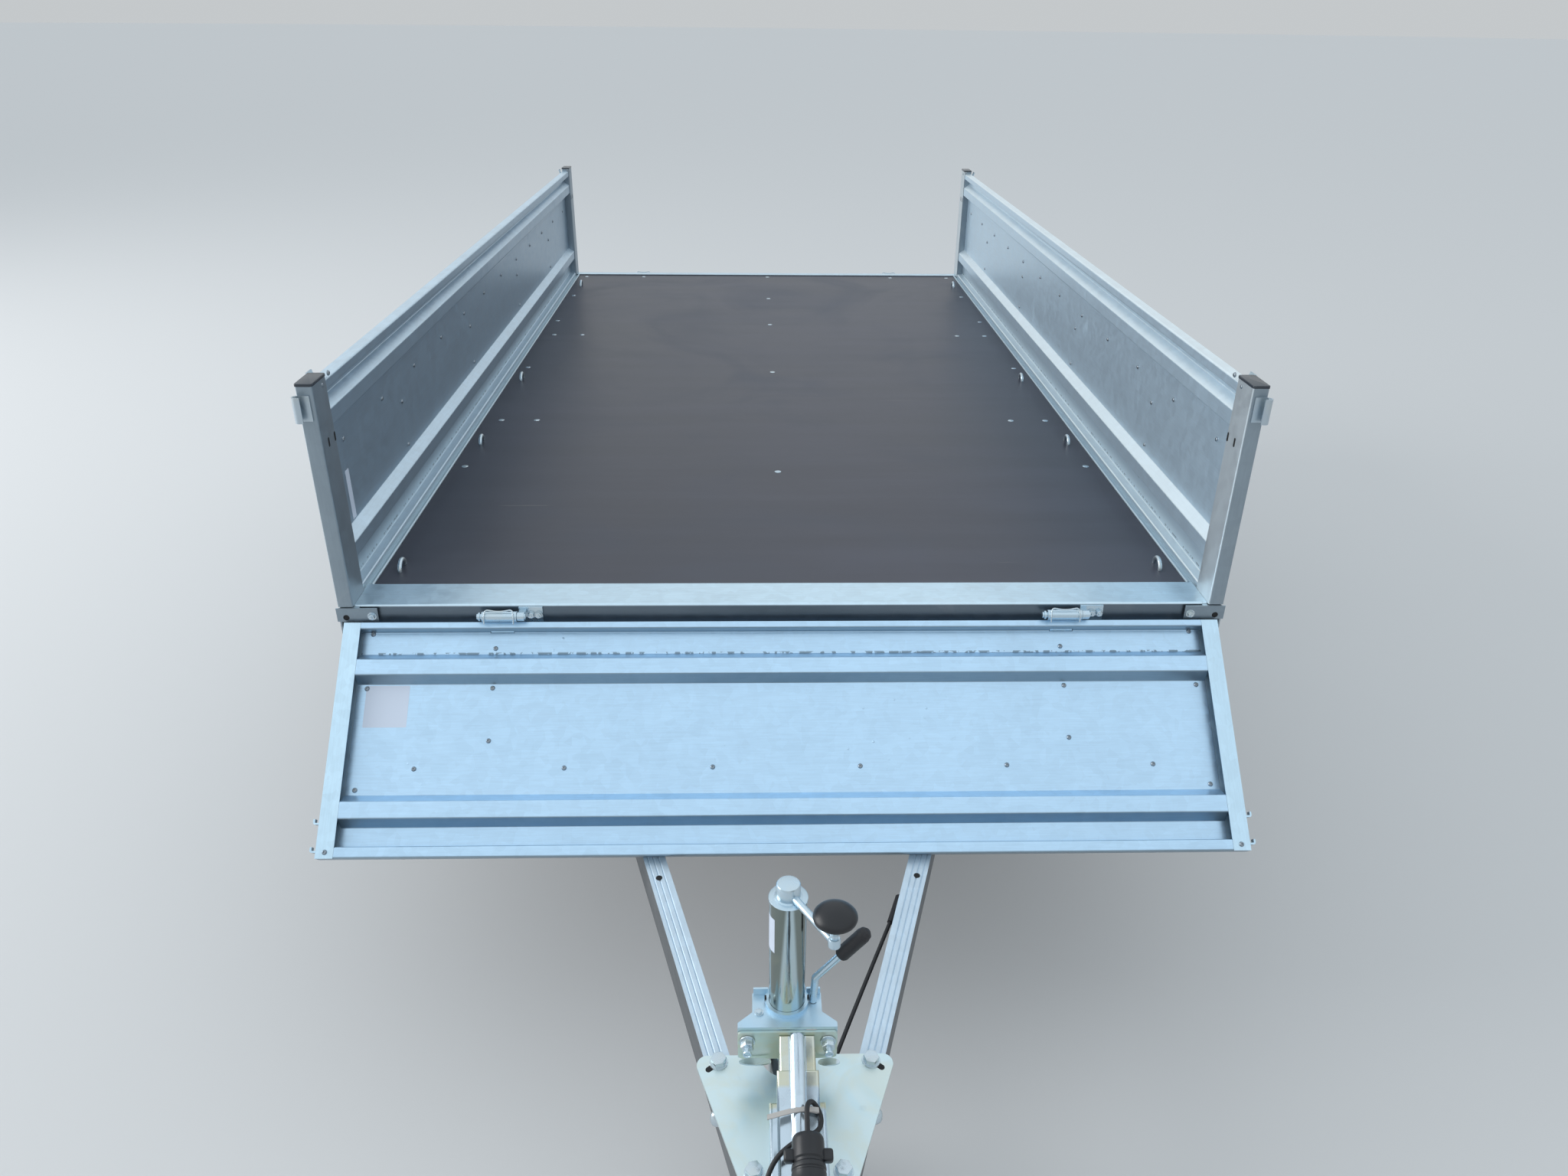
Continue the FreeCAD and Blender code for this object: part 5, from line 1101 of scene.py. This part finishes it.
legFrame = Matrix(((0.001, 0, 0, 0), (0, 0.001, 0, bedFront),
                   (0, 0.001 * legSlope, 0.001, onLegs(0, 0, 0).z), (0, 0, 0, 1)))
couplingShape = {"foot": 5.4, "front": -974.0, "knee": -832.0, "narrow": 23.5, "narrowTo": -790.0,
                 "top": ((-697.5, 101.0), (-740.0, 87.0), (-832.0, 56.5), (-974.0, 55.5)),
                 "middle": 27.0, "middleFrom": -738.0, "middleTop": 57.5, "low": 36.5,
                 "lowFrom": -747.0, "lowTop": 42.0, "ridgeRadius": 10.5, "ridgeFrom": -699.0,
                 "ridgeLift": 9.5}


def couplingTop(y):
    rows = couplingShape["top"]
    for (y0, z0), (y1, z1) in zip(rows, rows[1:]):
        if y >= y1:
            return z0 + (z1 - z0) * (y0 - y) / (y0 - y1)
    return rows[-1][1]


def pressedBlock(half, rows, corner):
    bm = bmesh.new()
    foot = couplingShape["foot"]
    first, height = rows[0]
    outline = [(-half, foot), (half, foot), (half, height), (-half, height)]
    face = bm.faces.new([bm.verts.new((x, first, z)) for x, z in outline])
    for before, after in zip(rows, rows[1:]):
        face = drawnFace(bm, face, (0, after[0] - before[0], 0))
        upper = [v for v in face.verts if v.co.z > foot + 1]
        bmesh.ops.translate(bm, vec=(0, 0, after[1] - before[1]), verts=upper)
    bmesh.ops.recalc_face_normals(bm, faces=bm.faces)
    rolled = []
    for edge in bm.edges:
        a, b = (v.co for v in edge.verts)
        atRear = abs(a.y - first) < 1e-4 and abs(b.y - first) < 1e-4
        if min(a.z, b.z) > foot + 1 and (abs(a.x - b.x) < 1e-4 or atRear):
            rolled.append(edge)
    rounded(bm, rolled, corner, 4)
    return bm


def couplingRidge():
    shape = couplingShape
    radius, start = shape["ridgeRadius"], shape["ridgeFrom"]
    bm = bmesh.new()
    ring = bmesh.ops.create_circle(bm, cap_ends=True, segments=32, radius=radius)["verts"]
    upright = Matrix.Rotation(math.radians(90), 3, "X")
    bmesh.ops.rotate(bm, cent=(0, 0, 0), matrix=upright, verts=ring)
    last = (start, couplingTop(start))
    bmesh.ops.translate(bm, vec=(0, start, last[1] + shape["ridgeLift"] - radius), verts=ring)
    face = bm.faces[:][0]
    for y in (shape["knee"], shape["front"]):
        face = drawnFace(bm, face, (0, y - last[0], couplingTop(y) - last[1]))
        last = (y, couplingTop(y))
    bmesh.ops.recalc_face_normals(bm, faces=bm.faces)
    rounded(bm, [e for e in bm.edges if min(v.co.y for v in e.verts) > start - 1], 4.0, 4)
    return bm


def makeCoupling():
    shape = couplingShape
    narrowEnd = (shape["narrowTo"], couplingTop(shape["narrowTo"]) - 1)
    middleRows = [(shape["middleFrom"], couplingTop(shape["middleFrom"]) + 2.0),
                  (shape["knee"], shape["middleTop"]), (shape["front"], shape["middleTop"])]
    lowRows = [(shape["lowFrom"], shape["lowTop"]), (shape["front"], shape["lowTop"])]
    parts = [pressedBlock(shape["narrow"], [shape["top"][0], narrowEnd], 4.0),
             pressedBlock(shape["middle"], middleRows, 4.0),
             pressedBlock(shape["low"], lowRows, 5.0), couplingRidge()]
    bm = bmesh.new()
    for part in parts:
        stamped(part, [legFrame], bm)
    madePiece("couplingHousing", bm, couplingZinc, 28, replaced=["coupling_body"])


# Crank on top of the jockey tube, with its knob

crankShape = {"axis": (-12.0, -650.0), "hubFoot": -67.6, "hubHeight": 23.0, "hubRadius": 15.4,
              "armHeight": 8.0, "tip": (41.0, -727.0, -69.0), "armRadius": 5.0, "knobRadius": 27.0,
              "knobLift": 21.0, "washer": 25.2}


def crankPiece(name, bm, spot, material, sharp, replaced=()):
    madePiece(name, bm, material, sharp, replaced=replaced, place=Matrix.Translation(bed(*spot)))


def makeCrank():
    shape = crankShape
    x, y = shape["axis"]
    foot, top, radius = shape["hubFoot"], shape["hubHeight"], shape["hubRadius"]
    tip = Vector(shape["tip"])
    hub = turnedShape([(0, top), (radius - 4, top), (radius - 1.2, top - 0.8), (radius, top - 2.6),
                       (radius, 2.4), (radius + 2.6, 1.2), (radius + 3.0, 0), (0, 0)], 48)
    crankPiece("crankHub", hub, (x, y, foot), platedSteel, 35, ["jockey_crank"])
    start = Vector((x, y, foot + shape["armHeight"]))
    out = (tip - start).normalized()
    points = [start + out * 10, start + out * 30, start + out * 60, tip - out * 12, tip - out * 2,
              tip + Vector((0, 0, 5)), tip + Vector((0, 0, 14))]
    bentWire("crankArm", [bed(*point) for point in points], shape["armRadius"] / 1000, platedSteel)
    boss = turnedShape([(0, -6.5), (6.0, -6.5), (7.6, -5), (7.8, 5), (6.6, 7), (4.2, 7.4), (4.2, 16),
                        (0, 16)], 32)
    crankPiece("crankBoss", boss, tip, platedSteel, 35)
    big = shape["knobRadius"]
    knob = turnedShape([(0, 1), (9.5, 1), (10.5, 2.5), (11.0, 6), (12.5, 9.5), (17, 12.5),
                        (big - 2.5, 15.2), (big - 0.6, 17.2), (big, 19.8), (big - 0.5, 22.2),
                        (big - 2.6, 25.0), (big - 7, 28.6), (big - 13, 31.4), (7, 33.4), (0, 34.0)], 56)
    crankPiece("crankKnob", knob, tip + Vector((0, 0, shape["knobLift"])), blackPlastic, 50, ["crank_knob"])
    wide = shape["washer"]
    collar = turnedShape([(0, 0), (wide, 0), (wide, 0.6), (wide - 1.2, 1.4), (0, 1.4)], 56)
    crankPiece("tubeTopWasher", collar, (x, y, foot - 0.4), platedSteel, 35)


# Bolts and nuts of the plate, the yoke and the bracket, and the cable's tie

drawbarBolts = {"plate": ((104.0, -663.0), (56.0, -815.0)), "plateTop": 5.3, "slotTurn": 38.0,
                "yoke": ((-64.5, -270.0), (41.0, -271.5)), "yokeFace": -697.8,
                "lips": ((-54.5, 21.0), (42.5, 14.5)), "lipAt": (-705.2, -301.5), "lipHalf": 5.5,
                "lipSheet": 0.0022, "lugs": (101.0, -730.0, 13.0), "holes": (208.5, -330.0)}


def makePlateFittings():
    sizes = drawbarBolts
    top = sizes["plateTop"]
    places = [aim(onLegs(side * x, y, top), legTilt, 20 * side) for x, y in sizes["plate"] for side in both]
    madePiece("plateBolts", stamped(hexBolt(19, 9, 13.0), places), fastenerSteel)
    x, y = sizes["plate"][0]
    # Dark discs in the plate's slots: painted shade
    slots = []
    for side in both:
        turn = -sizes["slotTurn"] if side > 0 else 180 + sizes["slotTurn"]
        slots.append(Matrix.Translation(onLegs(side * x, y, top - 0.15))
                     @ Matrix.Rotation(legAngle, 4, "X")
                     @ Matrix.Rotation(math.radians(turn), 4, "Z"))
    madePiece("plateSlotShadows", stamped(slotDisc(4.2, 17.0, 0.3), slots), holeShadow)
    x, y, under = sizes["lugs"]
    lug = turnedShape([(0, 13), (4, 12.4), (7, 10), (8.6, 6), (9, 0), (0, 0)], 24)
    bmesh.ops.scale(lug, vec=(1.0, 1.5, 1.0), verts=lug.verts)
    places = [aim(onLegs(side * x, y, -under), rightward * side) for side in both]
    madePiece("legLugs", stamped(lug, places), fastenerSteel, 40)
    # Dark discs in the holes on the legs' tops: painted shade
    x, y = sizes["holes"]
    places = [aim(onLegs(side * x, y, 0), legTilt) for side in both]
    madePiece("legTopHoleShadows", stamped(roundDisc(5.2, -0.4, 0.25), places), holeShadow)


def makeYokeFittings():
    sizes = drawbarBolts
    places = [aim(bed(x, sizes["yokeFace"], z), -rearward, 15) for x, z in sizes["yoke"]]
    madePiece("yokeNuts", stamped(hexBolt(15, 10, 10.5), places), fastenerSteel)
    stud = turnedShape([(0, 20), (3.2, 20), (4.0, 21.5), (5.4, 21.5), (5.8, 20.5), (5.8, 19), (4.4, 18),
                        (4.4, 0), (0, 0)], 20)
    madePiece("yokeStuds", stamped(stud, places), platedSteel, 40)
    for index, (x, reach) in enumerate(sizes["lips"]):
        lip = bmesh.new()
        bmesh.ops.create_circle(lip, cap_ends=True, segments=32, radius=0.001)
        bmesh.ops.scale(lip, vec=(reach, sizes["lipHalf"], 1.0), verts=lip.verts)
        bmesh.ops.inset_region(lip, faces=lip.faces[:], thickness=0.0016, depth=0.0)
        inner = max(lip.faces, key=lambda f: len(f.verts))
        bmesh.ops.translate(lip, vec=(0, 0, 0.0012), verts=inner.verts)
        thickened(lip, sizes["lipSheet"])
        place = Matrix.Translation(bed(x, *sizes["lipAt"]))
        madePiece("yokeLip%d" % (index + 1), lip, fastenerSteel, 40, place=place)


bracketFittings = {"rivet": (-49, -669, -250), "tabs": ((-46.5, 20.0), (23.5, 19.0)),
                   "tabAt": (-639.0, -244.4), "gapAt": (-650, -244.0), "gapOut": 27.2}


def makeBracketFittings():
    sizes = bracketFittings
    rivet = [Matrix.Translation(bed(*sizes["rivet"]))]
    madePiece("bracketRivet", stamped(hexBolt(8, 2.4, 6.2), rivet), fastenerSteel)
    for index, (x, width) in enumerate(sizes["tabs"]):
        madePiece("bracketTab%d" % (index + 1), thinCard(width, 11.0, 3.0, 0.8), bracketZinc,
                  place=aim(bed(x, *sizes["tabAt"]), rearward))
    # Small dark blocks in the clamp's gaps beside the collar: painted shade
    axis = crankShape["axis"][0]
    gapShadows = [aim(bed(axis + side * sizes["gapOut"], *sizes["gapAt"]), rightward * side) for side in both]
    madePiece("clampGapShadows", stamped(thinCard(5.0, 7.0, 2.4, 0.8), gapShadows), holeShadow)


cableTie = {"width": 7.0, "thickness": 1.3, "route": [
    (-39.8, -795.9, 81), (-26, -792.5, 81.5), (-11.8, -789.1, 82), (2, -786.5, 82), (10, -785.4, 81),
    (15, -785, 78.5), (20, -786, 78), (23.5, -788.5, 81), (23, -791.5, 86), (17, -793, 89),
    (11, -792, 88), (7.5, -790, 85)]}


def makeCableTie():
    strap = bmesh.new()
    half = cableTie["width"] / 2000
    spots = [onLegs(*spot) for spot in cableTie["route"]]
    edge = strap.edges.new([strap.verts.new(spots[0] + rearward * half * side) for side in both])
    for before, after in zip(spots, spots[1:]):
        edge = drawnEdge(strap, edge, after - before)
    thickened(strap, cableTie["thickness"] / 1000)
    madePiece("cableTie", strap, tieNylon, 40)


makeCoupling()
makeCrank()
makePlateFittings()
makeYokeFittings()
makeBracketFittings()
makeCableTie()
print("drawbar fittings made")

bpy.context.view_layer.update()
